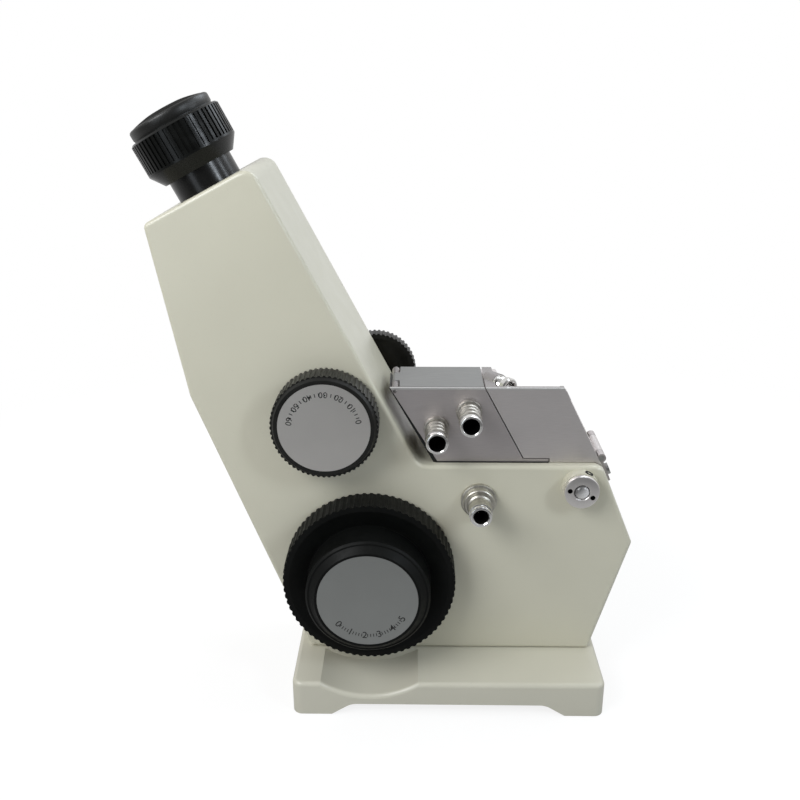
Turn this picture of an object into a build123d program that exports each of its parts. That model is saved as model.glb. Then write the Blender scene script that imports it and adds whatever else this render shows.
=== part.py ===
"""Abbe refractometer: cast housing on a foot plate, hinged prism seats, tilted telescope,
counter-rotating dispersion prisms behind a crown-gear drive, and a toothed sector that swings
the mirror and the glass scale.

Frame: origin at the middle of the foot plate's underside, +Z up, +X towards the prism seats,
-Y towards the side that carries the two large handwheels.  Millimetres and degrees.
"""
from build123d import *
from math import acos, atan2, ceil, cos, degrees, hypot, pi, radians, sin, sqrt, tan
import os

# ------------------------------------------------------------------ driving sizes
# foot plate
BASE_LENGTH = 127.0
BASE_WIDTH = 100.0
BASE_HEIGHT = 15.0
BASE_CORNER = 4.0
BASE_EDGE = 1.8
FOOT_LENGTH = 16.0
ARCH_HEIGHT = 5.0
ARCH_RUN = 8.0
SCOOP_RADIUS = 35.5
SCOOP_DEPTH = 6.0
POCKET_LENGTH = 98.0
POCKET_WIDTH = 42.0
POCKET_ROOF = 5.5

# housing casting
HOUSING_WIDTH = 50.0
WALL = 4.0
CASTING_EDGE = 1.6
COLUMN_TILT = 27.5
COLUMN_FRONT = 22.5
COLUMN_TOP = 96.3
SHELF_HEIGHT = 100.0
BACK_FOOT_X = -58.1
BACK_KINK = (-101.4, 128.8)
BACK_TOP_X = -113.4
FRONT_FOOT_X = 60.3
FRONT_KINK = (74.9, 66.0)
SHELF_LENGTH = 73.0
COVER_THICKNESS = 3.0
COVER_REBATE = 2.0
COVER_GAP = 0.15
COVER_BOSS_RADIUS = 3.6

# telescope line: its crossing with the dispersion shaft
CROSSING_X = -48.4
CROSSING_Z = 120.6
TUBE_RADIUS = 13.0
TUBE_BORE = 10.5
FOCUS_RADIUS = 18.4
FOCUS_BOTTOM = 104.1
FOCUS_BAND_BOTTOM = 109.4
FOCUS_BAND_TOP = 122.4
EYE_CAP_RADIUS = 16.5
EYE_CAP_TOP = 129.4
EYE_HOLE_RADIUS = 7.5
FOCUS_RIBS = 56
TELESCOPE_TUBE_RADIUS = 12.0
OBJECTIVE_HEIGHT = 26.0

# dispersion drive
KNOB_RADIUS = 20.8
KNOB_DISC_RADIUS = 17.7
KNOB_STAND_OFF = 1.2
KNOB_DEPTH = 10.8
KNOB_SCALLOP_COUNT = 62
DISPERSION_SHAFT_RADIUS = 3.0
CROWN_MODULE = 1.0
CROWN_TEETH = 28
CROWN_PINION_TEETH = 12
CROWN_FACE = 1.6
CROWN_BACKLASH = 0.34
AMICI_TUBE_RADIUS = 9.0
AMICI_BORE = 6.5
DIAL_OFFSET = 17.0
DIAL_GEAR_TEETH = 17
DIAL_DRIVE_TEETH = 51
DIAL_RADIUS = 17.8
DIAL_STAND_OFF = 6.0
DIAL_DEPTH = 9.5
DIAL_SCALLOP_COUNT = 54
DIAL_SHAFT_RADIUS = 2.5

# refractive-index drive
WHEEL_X = -32.1
WHEEL_Z = 54.1
WHEEL_RADIUS = 34.7
WHEEL_STAND_OFF = 1.5
WHEEL_RIM_DEPTH = 11.5
WHEEL_HUB_RADIUS = 24.6
WHEEL_DEPTH = 24.5
WHEEL_DISC_RADIUS = 19.8
WHEEL_SCALLOP_COUNT = 74
WHEEL_SHAFT_RADIUS = 4.0
PINION_TEETH = 12
SECTOR_TEETH = 84
SECTOR_SWING = 15.0
GEAR_BACKLASH = 0.14
MIRROR_DROP = 91.2
MIRROR_LENGTH = 27.0
MIRROR_SHAFT_RADIUS = 3.0
SCALE_OUTER = 44.0
SCALE_INNER = 34.0
SCALE_HALF_ANGLE = 12.0

# prism seats
SEAT_SETBACK = 4.0
SEAT_HEIGHT = 31.5
SEAT_PLATE = 1.6
SEAT_STEP_Y = 5.5
SEAT_STEP_DROP = 6.0
FILM_TILT = 28.3
FILM_TOP_FROM_END = 47.5
SEAT_LEFT_TILT = 31.2
SEAT_TOP_LEFT_FROM_END = 84.4
SEAT_FOOT_FROM_END = 21.1
FILM_GAP = 0.4
LID_WALL = 4.4
LID_CHEEK = 2.4
LID_TOP_RIGHT_FROM_END = 16.35
LID_FAR_CHEEK_HEIGHT = 16.5
LID_FLOOR = 2.6
LID_CLEARANCE = 0.3
SHADE_THICKNESS = 1.4
SHADE_TILT = 26.9
SHADE_OVERHANG = 3.6
SHADE_UPRIGHT = 3.0
SHADE_BAR = 12.0
PRISM_WIDTH = 22.0
PRISM_FACE = 22.0
HINGE_KNUCKLE = 1.9
HINGE_PIN = 1.1
HINGE_HALF = 13.0
HINGE_LID_HALF = 8.0
HINGE_RELIEF = 3.0
SHADE_RELIEF = 3.9
HINGE_LEAF = 1.2
HINGE_LEAF_LENGTH = 11.0
HINGE_SCREW_RADIUS = 1.2
HINGE_SCREW_DROP = 7.5
HINGE_SCREW_Y = (-9.0, 9.0)
NIPPLE_RADIUS = 4.4
NIPPLE_BORE = 2.85
NIPPLE_LENGTH = 17.0
NIPPLE_RIDGE_COUNT = 4
MIRROR_FLAP_THICKNESS = 2.0

# thermometer seat and scale condenser
THERMO_FROM_END = 48.8
THERMO_DROP = 14.8
THERMO_LENGTH = 15.5
THERMO_BORE = 3.1
THERMO_SPIGOT = 4.6
CONDENSER_FROM_END = 8.8
CONDENSER_DROP = 8.3
CONDENSER_RADIUS = 6.95
CONDENSER_BOSS = 4.5
CONDENSER_PLATE = 2.0

# fits
RUNNING = 0.04
SEATED = 0.05
LOOSE = 0.3
CLEARANCE = 0.5

# ------------------------------------------------------------------ derived places
HALF = HOUSING_WIDTH / 2
INNER = HALF - WALL
COVER_INSIDE = HALF - COVER_THICKNESS
KNOB_BACK = HALF + KNOB_STAND_OFF
KNOB_FRONT = KNOB_BACK + KNOB_DEPTH
DIAL_BACK = HALF + DIAL_STAND_OFF
WHEEL_BACK = HALF + WHEEL_STAND_OFF
WHEEL_FRONT = WHEEL_BACK + WHEEL_DEPTH
SEAT_NEAR = HALF - SEAT_SETBACK
SIN_T = sin(radians(COLUMN_TILT))
COS_T = cos(radians(COLUMN_TILT))
BASE = (Align.CENTER, Align.CENTER, Align.MIN)
TELESCOPE = Plane(
    origin=(CROSSING_X, 0, CROSSING_Z), x_dir=(COS_T, 0, SIN_T), z_dir=(-SIN_T, 0, COS_T)
)


def on_telescope(across, along):
    """World (x, z) of a point given in the telescope's own coordinates."""
    return (
        CROSSING_X + across * COS_T - along * SIN_T,
        CROSSING_Z + across * SIN_T + along * COS_T,
    )


def meet(a, b, c, d):
    """Crossing point of the lines a-b and c-d."""
    rx, rz = b[0] - a[0], b[1] - a[1]
    sx, sz = d[0] - c[0], d[1] - c[1]
    t = ((c[0] - a[0]) * sz - (c[1] - a[1]) * sx) / (rx * sz - rz * sx)
    return (a[0] + t * rx, a[1] + t * rz)


FRONT_LINE = (on_telescope(COLUMN_FRONT, 0), on_telescope(COLUMN_FRONT, COLUMN_TOP))
TOP_LINE = (on_telescope(0, COLUMN_TOP), on_telescope(COLUMN_FRONT, COLUMN_TOP))
TOP_LEFT = meet(*TOP_LINE, (BACK_TOP_X, 0), (BACK_TOP_X, 1))
TOP_RIGHT = meet(*TOP_LINE, *FRONT_LINE)
SHELF_START = meet(*FRONT_LINE, (0, SHELF_HEIGHT), (1, SHELF_HEIGHT))
SHELF_END_X = SHELF_START[0] + SHELF_LENGTH
SHELF_END = (SHELF_END_X, SHELF_HEIGHT)
OUTLINE = [
    (BACK_FOOT_X, BASE_HEIGHT),
    BACK_KINK,
    TOP_LEFT,
    TOP_RIGHT,
    SHELF_START,
    SHELF_END,
    FRONT_KINK,
    (FRONT_FOOT_X, BASE_HEIGHT),
]
OUTLINE_RADII = [1.5, 3.0, 2.4, 5.5, 6.0, 5.0, 2.0, 1.5]
MIRROR_X, MIRROR_Z = on_telescope(0, -MIRROR_DROP)
DIAL_X = CROSSING_X + DIAL_OFFSET
DIAL_Z = CROSSING_Z
SEAT_TOP = SHELF_HEIGHT + SEAT_HEIGHT
FILM_TOP_X = SHELF_END_X - FILM_TOP_FROM_END
SEAT_TOP_LEFT_X = SHELF_END_X - SEAT_TOP_LEFT_FROM_END
SEAT_FOOT_END_X = SHELF_END_X - SEAT_FOOT_FROM_END
LID_TOP_RIGHT_X = SHELF_END_X - LID_TOP_RIGHT_FROM_END
LID_FAR_CHEEK_TOP = SHELF_HEIGHT + LID_FAR_CHEEK_HEIGHT
SHADE_LOW = SHELF_HEIGHT - SHADE_OVERHANG
THERMO_X = SHELF_END_X - THERMO_FROM_END
THERMO_Z = SHELF_HEIGHT - THERMO_DROP
CONDENSER_X = SHELF_END_X - CONDENSER_FROM_END
CONDENSER_Z = SHELF_HEIGHT - CONDENSER_DROP


# ------------------------------------------------------------------ shared shapes
def rod(x, z, y0, y1, radius):
    """Round bar along Y from y0 to y1."""
    return Plane.XZ * Pos(x, z, -y1) * Cylinder(radius, y1 - y0, align=BASE)


def slab(points, y0, y1, radii=None):
    """Plate with an XZ outline, from y0 to y1, with optional corner radii."""
    if radii is None:
        edge = Polyline(*points, close=True)
    else:
        edge = FilletPolyline(*points, radius=radii, close=True)
    return Plane.XZ * Pos(0, 0, -y1) * extrude(make_face(edge), y1 - y0)


def turned(points):
    """Solid of revolution about Z from (radius, height) points."""
    return revolve(make_face(Plane.XZ * Polyline(*points, close=True)), Axis.Z)


def facing(x, z, y, part):
    """Put a part modelled along +Z on the axis through (x, z), pointing to -Y from y."""
    return Plane.XZ * Pos(x, z, -y) * part


def facing_far(x, z, y, part):
    """The same, pointing to +Y."""
    return Pos(x, y, z) * Rot(X=-90) * part


def tube(outer, inner, height):
    return Cylinder(outer, height, align=BASE) - Cylinder(inner, height, align=BASE)


PRESSURE_ANGLE = 20.0
ADDENDUM = 0.85
DEDENDUM = 1.15


def involute_angle(pressure):
    return tan(pressure) - pressure


def gear_outline(module, teeth, backlash):
    """Half angles of an involute tooth at the root, pitch and tip radii."""
    pitch = module * teeth / 2
    base = pitch * cos(radians(PRESSURE_ANGLE))
    root = pitch - DEDENDUM * module
    tip = pitch + ADDENDUM * module
    half = pi / (2 * teeth) - backlash / (2 * pitch)
    levels = []
    for radius in (root, (pitch + root) / 2, pitch, (pitch + tip) / 2, tip):
        pressure = acos(min(1.0, base / radius))
        angle = half + involute_angle(radians(PRESSURE_ANGLE)) - involute_angle(pressure)
        levels.append((radius, angle))
    return levels


def gear_points(module, teeth, backlash, first, count):
    """Corner points of count teeth, the middle of tooth 0 on the local X axis."""
    levels = gear_outline(module, teeth, backlash)
    points = []
    for index in range(first, first + count):
        middle = 2 * pi * index / teeth
        for radius, angle in levels:
            points.append((radius * cos(middle - angle), radius * sin(middle - angle)))
        for radius, angle in reversed(levels):
            points.append((radius * cos(middle + angle), radius * sin(middle + angle)))
    return points


def spur_gear(module, teeth, backlash, thickness):
    edge = Polyline(*gear_points(module, teeth, backlash, 0, teeth), close=True)
    return extrude(make_face(edge), thickness)


SCALLOP_DEPTH = 0.5


def scalloped(radius, depth, count, height):
    """Disc whose rim has count finger scallops of the given depth."""
    low = radius - depth
    edges = []
    for index in range(count):
        a = 2 * pi * index / count
        b = 2 * pi * (index + 0.36) / count
        c = 2 * pi * (index + 1) / count
        mid = (b + c) / 2
        edges.append(Line((radius * cos(a), radius * sin(a)), (radius * cos(b), radius * sin(b))))
        edges.append(
            ThreePointArc(
                (radius * cos(b), radius * sin(b)),
                (low * cos(mid), low * sin(mid)),
                (radius * cos(c), radius * sin(c)),
            )
        )
    return extrude(make_face(Curve() + edges), height)


def inset(points, distance):
    """The same closed outline, clockwise in XZ, moved inwards by a distance."""
    moved = []
    count = len(points)
    for index in range(count):
        a, b, c = points[index - 1], points[index], points[(index + 1) % count]
        lines = []
        for p, q in ((a, b), (b, c)):
            length = hypot(q[0] - p[0], q[1] - p[1])
            nx, nz = (q[1] - p[1]) / length, -(q[0] - p[0]) / length
            shift = (nx * distance, nz * distance)
            lines.append((p[0] + shift[0], p[1] + shift[1]))
            lines.append((q[0] + shift[0], q[1] + shift[1]))
        moved.append(meet(*lines))
    return moved


def inset_radii(distance):
    """Corner radii of the inset outline: convex corners shrink and the hollow one grows."""
    radii = []
    for point, radius in zip(OUTLINE, OUTLINE_RADII):
        hollow = point == SHELF_START
        radii.append(radius + distance if hollow else max(radius - distance, 0.8))
    return radii


# ------------------------------------------------------------------ foot plate
BASE_SCREW_X = POCKET_LENGTH / 2 - 7.0
BASE_SCREW_Y = POCKET_WIDTH / 2 - 8.0
BASE_SCREW_RADIUS = 2.5
BASE_SCREW_HEAD = 4.2
BASE_SCREW_HEAD_HEIGHT = 3.0
BASE_SCREW_BITE = 9.0
BASE_BOSS_RADIUS = 5.0
BASE_BOSS_HEIGHT = 8.0
BASE_SCREWS = [(x, y) for x in (-BASE_SCREW_X, BASE_SCREW_X) for y in (-BASE_SCREW_Y, BASE_SCREW_Y)]


def base_casting():
    half = BASE_LENGTH / 2
    plate = extrude(RectangleRounded(BASE_LENGTH, BASE_WIDTH, BASE_CORNER), BASE_HEIGHT)
    scoop = rod(
        WHEEL_X,
        BASE_HEIGHT - SCOOP_DEPTH + SCOOP_RADIUS,
        -BASE_WIDTH / 2 - 1,
        -HALF - 1,
        SCOOP_RADIUS,
    )
    plate -= scoop
    rim = [
        edge
        for edge in plate.edges()
        if edge.center().Z > BASE_HEIGHT - SCOOP_DEPTH - 0.1
        and (
            abs(edge.center().X) > half - BASE_CORNER
            or abs(edge.center().Y) > BASE_WIDTH / 2 - BASE_CORNER
        )
        and edge.bounding_box().size.Z < BASE_HEIGHT / 2
        and not (abs(edge.center().X) < half - BASE_CORNER and edge.bounding_box().size.Y > 1)
    ]
    plate = fillet(rim, BASE_EDGE)
    arch = slab(
        [
            (-half + FOOT_LENGTH - ARCH_RUN / 5, -ARCH_HEIGHT / 5),
            (-half + FOOT_LENGTH + ARCH_RUN, ARCH_HEIGHT),
            (half - FOOT_LENGTH - ARCH_RUN, ARCH_HEIGHT),
            (half - FOOT_LENGTH + ARCH_RUN / 5, -ARCH_HEIGHT / 5),
        ],
        -BASE_WIDTH,
        BASE_WIDTH,
        [0, ARCH_RUN, ARCH_RUN, 0],
    )
    pocket = extrude(
        RectangleRounded(POCKET_LENGTH, POCKET_WIDTH, ARCH_RUN), BASE_HEIGHT - POCKET_ROOF
    )
    plate = plate - arch - pocket
    for x, y in BASE_SCREWS:
        plate -= Pos(x, y, 0) * Cylinder(BASE_SCREW_RADIUS + LOOSE, BASE_HEIGHT * 2)
    return plate


def cap_screw(radius, head, head_height, length):
    """Socket screw along +Z from the underside of its head, the head below."""
    screw = Cylinder(radius, length, align=BASE)
    screw += Pos(0, 0, -head_height) * Cylinder(head, head_height, align=BASE)
    socket = extrude(RegularPolygon(head * 0.5, 6), head_height * 0.6)
    return screw - Pos(0, 0, -head_height) * socket


def base_screws():
    roof = BASE_HEIGHT - POCKET_ROOF
    screw = cap_screw(
        BASE_SCREW_RADIUS, BASE_SCREW_HEAD, BASE_SCREW_HEAD_HEIGHT, POCKET_ROOF + BASE_SCREW_BITE
    )
    return Compound([Pos(x, y, roof) * screw for x, y in BASE_SCREWS])


# ------------------------------------------------------------------ housing
COVER_SCREW_RADIUS = 1.5
COVER_SCREW_HEAD = 2.9
COVER_SCREW_LENGTH = 9.0
COVER_BOSS_INSET = WALL + 2.4
BUSH_FLANGE = 1.2
BUSH_LIP = 1.5
WHEEL_BUSH_RADIUS = 7.0
DISPERSION_BUSH_RADIUS = 5.5
DIAL_BUSH_RADIUS = 4.6
BEARING_BOSS = 4.0
BOSS_WALL = 3.0
MIRROR_BOSS = 1.6
PINION_SPIGOT = 2.2
LIGHT_HOLE_RADIUS = 4.6
SHELF_OPENING = (SHELF_END_X - 54.2, SHELF_END_X - 38.2)
SHELF_OPENING_HALF = 8.0
SEAT_SCREW_RADIUS = 2.0
SEAT_SCREW_HEAD = 3.4
SEAT_SCREW_HEAD_HEIGHT = 2.2
SEAT_SCREW_BITE = 8.0
SEAT_SCREW_X = (SHELF_END_X - 60.2, SHELF_END_X - 40.2)
SEAT_SCREW_Y = SEAT_NEAR - 5.5
SEAT_SCREWS = [(x, y) for x in SEAT_SCREW_X for y in (-SEAT_SCREW_Y, SEAT_SCREW_Y)]
CALIBRATION_Z = 158.0
CALIBRATION_RADIUS = 2.6
CALIBRATION_LENGTH = 9.0
HINGE_X = SHELF_END_X + 1.7
HINGE_Z = SHELF_HEIGHT - 1.6


def calibration_place():
    """On the upper back wall, local +Z pointing out of the casting."""
    low, high = BACK_KINK, TOP_LEFT
    share = (CALIBRATION_Z - low[1]) / (high[1] - low[1])
    length = hypot(high[0] - low[0], high[1] - low[1])
    outward = (-(high[1] - low[1]) / length, 0, (high[0] - low[0]) / length)
    origin = (low[0] + share * (high[0] - low[0]), 0, CALIBRATION_Z)
    return Plane(origin=origin, x_dir=(0, 1, 0), z_dir=outward)


def housing_casting():
    block = slab(OUTLINE, -HALF, HALF, OUTLINE_RADII)
    faces = block.faces().sort_by(Axis.Y)
    rims = faces[0].edges() + faces[-1].edges()
    block = fillet(rims, CASTING_EDGE)
    block += rod(CONDENSER_X, CONDENSER_Z, -HALF - CONDENSER_BOSS, -HALF + 1, CONDENSER_RADIUS + 0.35)
    block -= slab(inset(OUTLINE, WALL), -INNER, HALF + 1, inset_radii(WALL))
    for x, z in inset(OUTLINE, COVER_BOSS_INSET):
        block += rod(x, z, -INNER - 0.5, COVER_INSIDE, COVER_BOSS_RADIUS)
        block -= rod(x, z, COVER_INSIDE - COVER_SCREW_LENGTH, HALF, COVER_SCREW_RADIUS + SEATED)
    block -= slab(
        inset(OUTLINE, COVER_REBATE), COVER_INSIDE, HALF + 1, inset_radii(COVER_REBATE)
    )
    for x, y in BASE_SCREWS:
        boss = Pos(x, y, BASE_HEIGHT) * Cylinder(BASE_BOSS_RADIUS, BASE_BOSS_HEIGHT + WALL, align=BASE)
        block += boss
        block -= Pos(x, y, BASE_HEIGHT - 1) * Cylinder(
            BASE_SCREW_RADIUS + SEATED, BASE_SCREW_BITE + 2, align=BASE
        )
    block += rod(
        MIRROR_X, MIRROR_Z, -INNER - 0.5, -INNER + MIRROR_BOSS, MIRROR_SHAFT_RADIUS + BOSS_WALL
    )
    block -= rod(
        MIRROR_X, MIRROR_Z, -INNER - WALL / 3, -INNER + MIRROR_BOSS + 1, MIRROR_SHAFT_RADIUS + RUNNING
    )
    block -= rod(DIAL_X, DIAL_Z, DIAL_GEAR_NEAR - LOOSE, COVER_INSIDE, DIAL_GEAR_RADIUS + 2 * LOOSE)
    block -= rod(CROSSING_X, CROSSING_Z, -HALF - 1, 0, DISPERSION_BUSH_RADIUS)
    block -= rod(WHEEL_X, WHEEL_Z, -HALF - 1, 0, WHEEL_BUSH_RADIUS)
    block -= rod(THERMO_X, THERMO_Z, -HALF - 1, -INNER + 1, THERMO_SPIGOT + SEATED)
    block -= rod(CONDENSER_X, CONDENSER_Z, -HALF - CONDENSER_BOSS - 1, -INNER + 1, LIGHT_HOLE_RADIUS)
    block -= TELESCOPE * Pos(0, 0, TUBE_BOTTOM - 1) * Cylinder(
        TUBE_RADIUS + SEATED, COLUMN_TOP - TUBE_BOTTOM + WALL, align=BASE
    )
    x0, x1 = SHELF_OPENING
    opening = Pos((x0 + x1) / 2, 0, SHELF_HEIGHT) * Box(x1 - x0, 2 * SHELF_OPENING_HALF, WALL * 3)
    block -= opening
    for x, y in SEAT_SCREWS:
        block -= Pos(x, y, SHELF_HEIGHT) * Cylinder(SEAT_SCREW_RADIUS + LOOSE, WALL * 3)
    block -= rod(HINGE_X, HINGE_Z, -HINGE_HALF - 1, HINGE_HALF + 1, HINGE_RELIEF)
    block -= rod(
        HINGE_X, HINGE_Z, -SEAT_NEAR - CLEARANCE, SHADE_UPRIGHT + CLEARANCE - SEAT_NEAR, SHADE_RELIEF
    )
    for y in HINGE_SCREW_Y:
        block -= bracket_place() * Pos(y, -HINGE_SCREW_DROP, -WALL) * Cylinder(
            HINGE_SCREW_RADIUS + SEATED, WALL * 2, align=BASE
        )
    block -= calibration_place() * Pos(0, 0, -WALL * 2) * Cylinder(
        CALIBRATION_RADIUS + RUNNING, WALL * 3, align=BASE
    )
    return block


def bearing_boss(x, z, shaft_radius):
    """Boss inside the side cover and the blind bore cut into it."""
    boss = rod(x, z, COVER_INSIDE - BEARING_BOSS, COVER_INSIDE + 1, shaft_radius + BOSS_WALL)
    bore = rod(x, z, COVER_INSIDE - BEARING_BOSS - 1, HALF - 1.2, shaft_radius + RUNNING)
    return boss, bore


COVER_BEARINGS = [
    (WHEEL_X, WHEEL_Z, PINION_SPIGOT),
    (MIRROR_X, MIRROR_Z, MIRROR_SHAFT_RADIUS),
]


def side_cover():
    inset_by = COVER_REBATE + COVER_GAP
    plate = slab(inset(OUTLINE, inset_by), COVER_INSIDE, HALF, inset_radii(inset_by))
    for x, z, radius in COVER_BEARINGS:
        boss, bore = bearing_boss(x, z, radius)
        plate = plate + boss - bore
    plate -= rod(CROSSING_X, CROSSING_Z, COVER_INSIDE - 1, HALF - 1.2, DISPERSION_SHAFT_RADIUS + RUNNING)
    plate -= rod(DIAL_X, DIAL_Z, COVER_INSIDE - 1, HALF + 1, DIAL_BUSH_RADIUS)
    for x, z in inset(OUTLINE, COVER_BOSS_INSET):
        plate -= rod(x, z, COVER_INSIDE - 1, HALF + 1, COVER_SCREW_RADIUS + LOOSE)
        head = Cone(COVER_SCREW_RADIUS, COVER_SCREW_HEAD + 0.1, 1.7, align=BASE)
        plate -= facing_far(x, z, HALF - 1.7, head)
    return plate


def cover_screws():
    screw = Cylinder(COVER_SCREW_RADIUS, COVER_SCREW_LENGTH - 1.6, align=BASE)
    screw += Pos(0, 0, COVER_SCREW_LENGTH - 1.6) * Cone(
        COVER_SCREW_RADIUS, COVER_SCREW_HEAD, 1.6, align=BASE
    )
    slot = Pos(0, 0, COVER_SCREW_LENGTH) * Box(COVER_SCREW_HEAD * 2, 0.7, 1.2)
    screw -= slot
    start = HALF - COVER_SCREW_LENGTH
    return Compound([facing_far(x, z, start, screw) for x, z in inset(OUTLINE, COVER_BOSS_INSET)])


def bush(shaft_radius, outer_radius, stand_out):
    """Flanged bearing bush for the near wall, flange inside, bored for its shaft."""
    body = tube(outer_radius - SEATED / 2, shaft_radius + RUNNING, WALL + stand_out)
    flange = tube(outer_radius + BUSH_LIP, shaft_radius + RUNNING, BUSH_FLANGE)
    return Pos(0, 0, BUSH_FLANGE) * body + flange


def wheel_bush():
    part = bush(WHEEL_SHAFT_RADIUS, WHEEL_BUSH_RADIUS, (WHEEL_BACK - HALF) / 2)
    return facing(WHEEL_X, WHEEL_Z, -INNER + BUSH_FLANGE, part)


def dispersion_bush():
    part = bush(DISPERSION_SHAFT_RADIUS, DISPERSION_BUSH_RADIUS, (KNOB_BACK - HALF) / 2)
    return facing(CROSSING_X, CROSSING_Z, -INNER + BUSH_FLANGE, part)


def dial_bush():
    body = tube(DIAL_BUSH_RADIUS - SEATED / 2, DIAL_SHAFT_RADIUS + RUNNING, COVER_THICKNESS)
    collar = tube(DIAL_BUSH_RADIUS + BUSH_LIP, DIAL_SHAFT_RADIUS + RUNNING, DIAL_BACK - HALF - 0.4)
    return facing_far(DIAL_X, DIAL_Z, COVER_INSIDE, body + Pos(0, 0, COVER_THICKNESS) * collar)


def calibration_screw():
    place = calibration_place() * Pos(0, 0, -1.0 - CALIBRATION_LENGTH)
    screw = Cylinder(CALIBRATION_RADIUS, CALIBRATION_LENGTH, align=BASE)
    screw -= Pos(0, 0, CALIBRATION_LENGTH) * Box(CALIBRATION_RADIUS * 3, 0.8, 2.4)
    return place * screw


# ------------------------------------------------------------------ telescope
TUBE_BOTTOM = COLUMN_TOP - 13.0
TUBE_TOP = FOCUS_BAND_TOP - 7.2
TUBE_SOCKET = 6.0
TELESCOPE_TUBE_BOTTOM = 18.2
TELESCOPE_TUBE_BORE = 9.6
LENS_RING = 1.2
CELL_HEIGHT = 7.0
CELL_STOP = 2.2
OBJECTIVE_EDGE = 2.6
OBJECTIVE_BULGE = 1.2
RETICLE_THICKNESS = 1.5
EYE_FLANGE = 1.7
EYE_FLANGE_RADIUS = 14.0
RIB_DEPTH = 0.55
RIB_BAND_MARGIN = 0.8


def eyepiece_tube():
    profile = [
        (TELESCOPE_TUBE_RADIUS + RUNNING, TUBE_BOTTOM),
        (TUBE_RADIUS, TUBE_BOTTOM),
        (TUBE_RADIUS, TUBE_TOP - 0.6),
        (TUBE_RADIUS - 0.6, TUBE_TOP),
        (TUBE_BORE, TUBE_TOP),
        (TUBE_BORE, TUBE_BOTTOM + TUBE_SOCKET),
        (TELESCOPE_TUBE_RADIUS + RUNNING, TUBE_BOTTOM + TUBE_SOCKET),
    ]
    return TELESCOPE * turned(profile)


def telescope_tube():
    length = TUBE_BOTTOM + TUBE_SOCKET - TELESCOPE_TUBE_BOTTOM
    return (
        TELESCOPE
        * Pos(0, 0, TELESCOPE_TUBE_BOTTOM)
        * tube(TELESCOPE_TUBE_RADIUS, TELESCOPE_TUBE_BORE, length)
    )


def lens(radius, edge, bulge):
    """Flat-backed lens standing on its flat face, domed upwards."""
    ball = (radius**2 + bulge**2) / (2 * bulge)
    dome = Pos(0, 0, edge + bulge - ball) * Sphere(ball)
    dome &= Pos(0, 0, edge) * Cylinder(radius, bulge * 2, align=BASE)
    return Cylinder(radius, edge, align=BASE) + dome


def objective_cell():
    outer = TELESCOPE_TUBE_BORE - RUNNING
    cell = tube(outer, outer - LENS_RING, CELL_HEIGHT) + tube(outer, outer - CELL_STOP, LENS_RING)
    return TELESCOPE * Pos(0, 0, OBJECTIVE_HEIGHT) * cell


def objective_lens():
    radius = TELESCOPE_TUBE_BORE - LENS_RING - RUNNING - SEATED
    glass = lens(radius, OBJECTIVE_EDGE, OBJECTIVE_BULGE)
    return TELESCOPE * Pos(0, 0, OBJECTIVE_HEIGHT + LENS_RING) * glass


def reticle():
    seat = TUBE_BOTTOM + TUBE_SOCKET
    return TELESCOPE * Pos(0, 0, seat) * Cylinder(TUBE_BORE - SEATED, RETICLE_THICKNESS, align=BASE)


BARREL_RADIUS = TUBE_BORE - RUNNING
BARREL_BOTTOM = TUBE_TOP - 18.0
BARREL_TOP = FOCUS_BAND_TOP + 0.1 + EYE_FLANGE
EYE_LENS_RADIUS = 8.0
EYE_LENS_BOTTOM = FOCUS_BAND_TOP - 3.7
EYE_LENS_EDGE = 2.2
EYE_LENS_BULGE = 1.6
FIELD_LENS_RADIUS = 9.0
FIELD_LENS_EDGE = 1.6
FIELD_LENS_BULGE = 1.2
BARREL_LIP = 0.8
BARREL_STEP = 1.2
BARREL_STOP = 1.5


def eyepiece_barrel():
    flange_low = FOCUS_BAND_TOP + 0.1
    stop = EYE_LENS_BOTTOM - BARREL_STOP
    profile = [
        (FIELD_LENS_RADIUS - BARREL_LIP, BARREL_BOTTOM),
        (BARREL_RADIUS, BARREL_BOTTOM),
        (BARREL_RADIUS, flange_low),
        (EYE_FLANGE_RADIUS, flange_low),
        (EYE_FLANGE_RADIUS, BARREL_TOP),
        (EYE_LENS_RADIUS + SEATED, BARREL_TOP),
        (EYE_LENS_RADIUS + SEATED, EYE_LENS_BOTTOM),
        (EYE_LENS_RADIUS - BARREL_LIP, EYE_LENS_BOTTOM),
        (EYE_LENS_RADIUS - BARREL_LIP, stop),
        (FIELD_LENS_RADIUS, stop),
        (FIELD_LENS_RADIUS, BARREL_BOTTOM + BARREL_STEP),
        (FIELD_LENS_RADIUS - BARREL_LIP, BARREL_BOTTOM + BARREL_STEP),
    ]
    return TELESCOPE * turned(profile)


def eye_lens():
    return TELESCOPE * Pos(0, 0, EYE_LENS_BOTTOM) * lens(EYE_LENS_RADIUS, EYE_LENS_EDGE, EYE_LENS_BULGE)


def field_lens():
    glass = lens(FIELD_LENS_RADIUS - SEATED, FIELD_LENS_EDGE, FIELD_LENS_BULGE)
    return TELESCOPE * Pos(0, 0, BARREL_BOTTOM + BARREL_STEP) * glass


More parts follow.
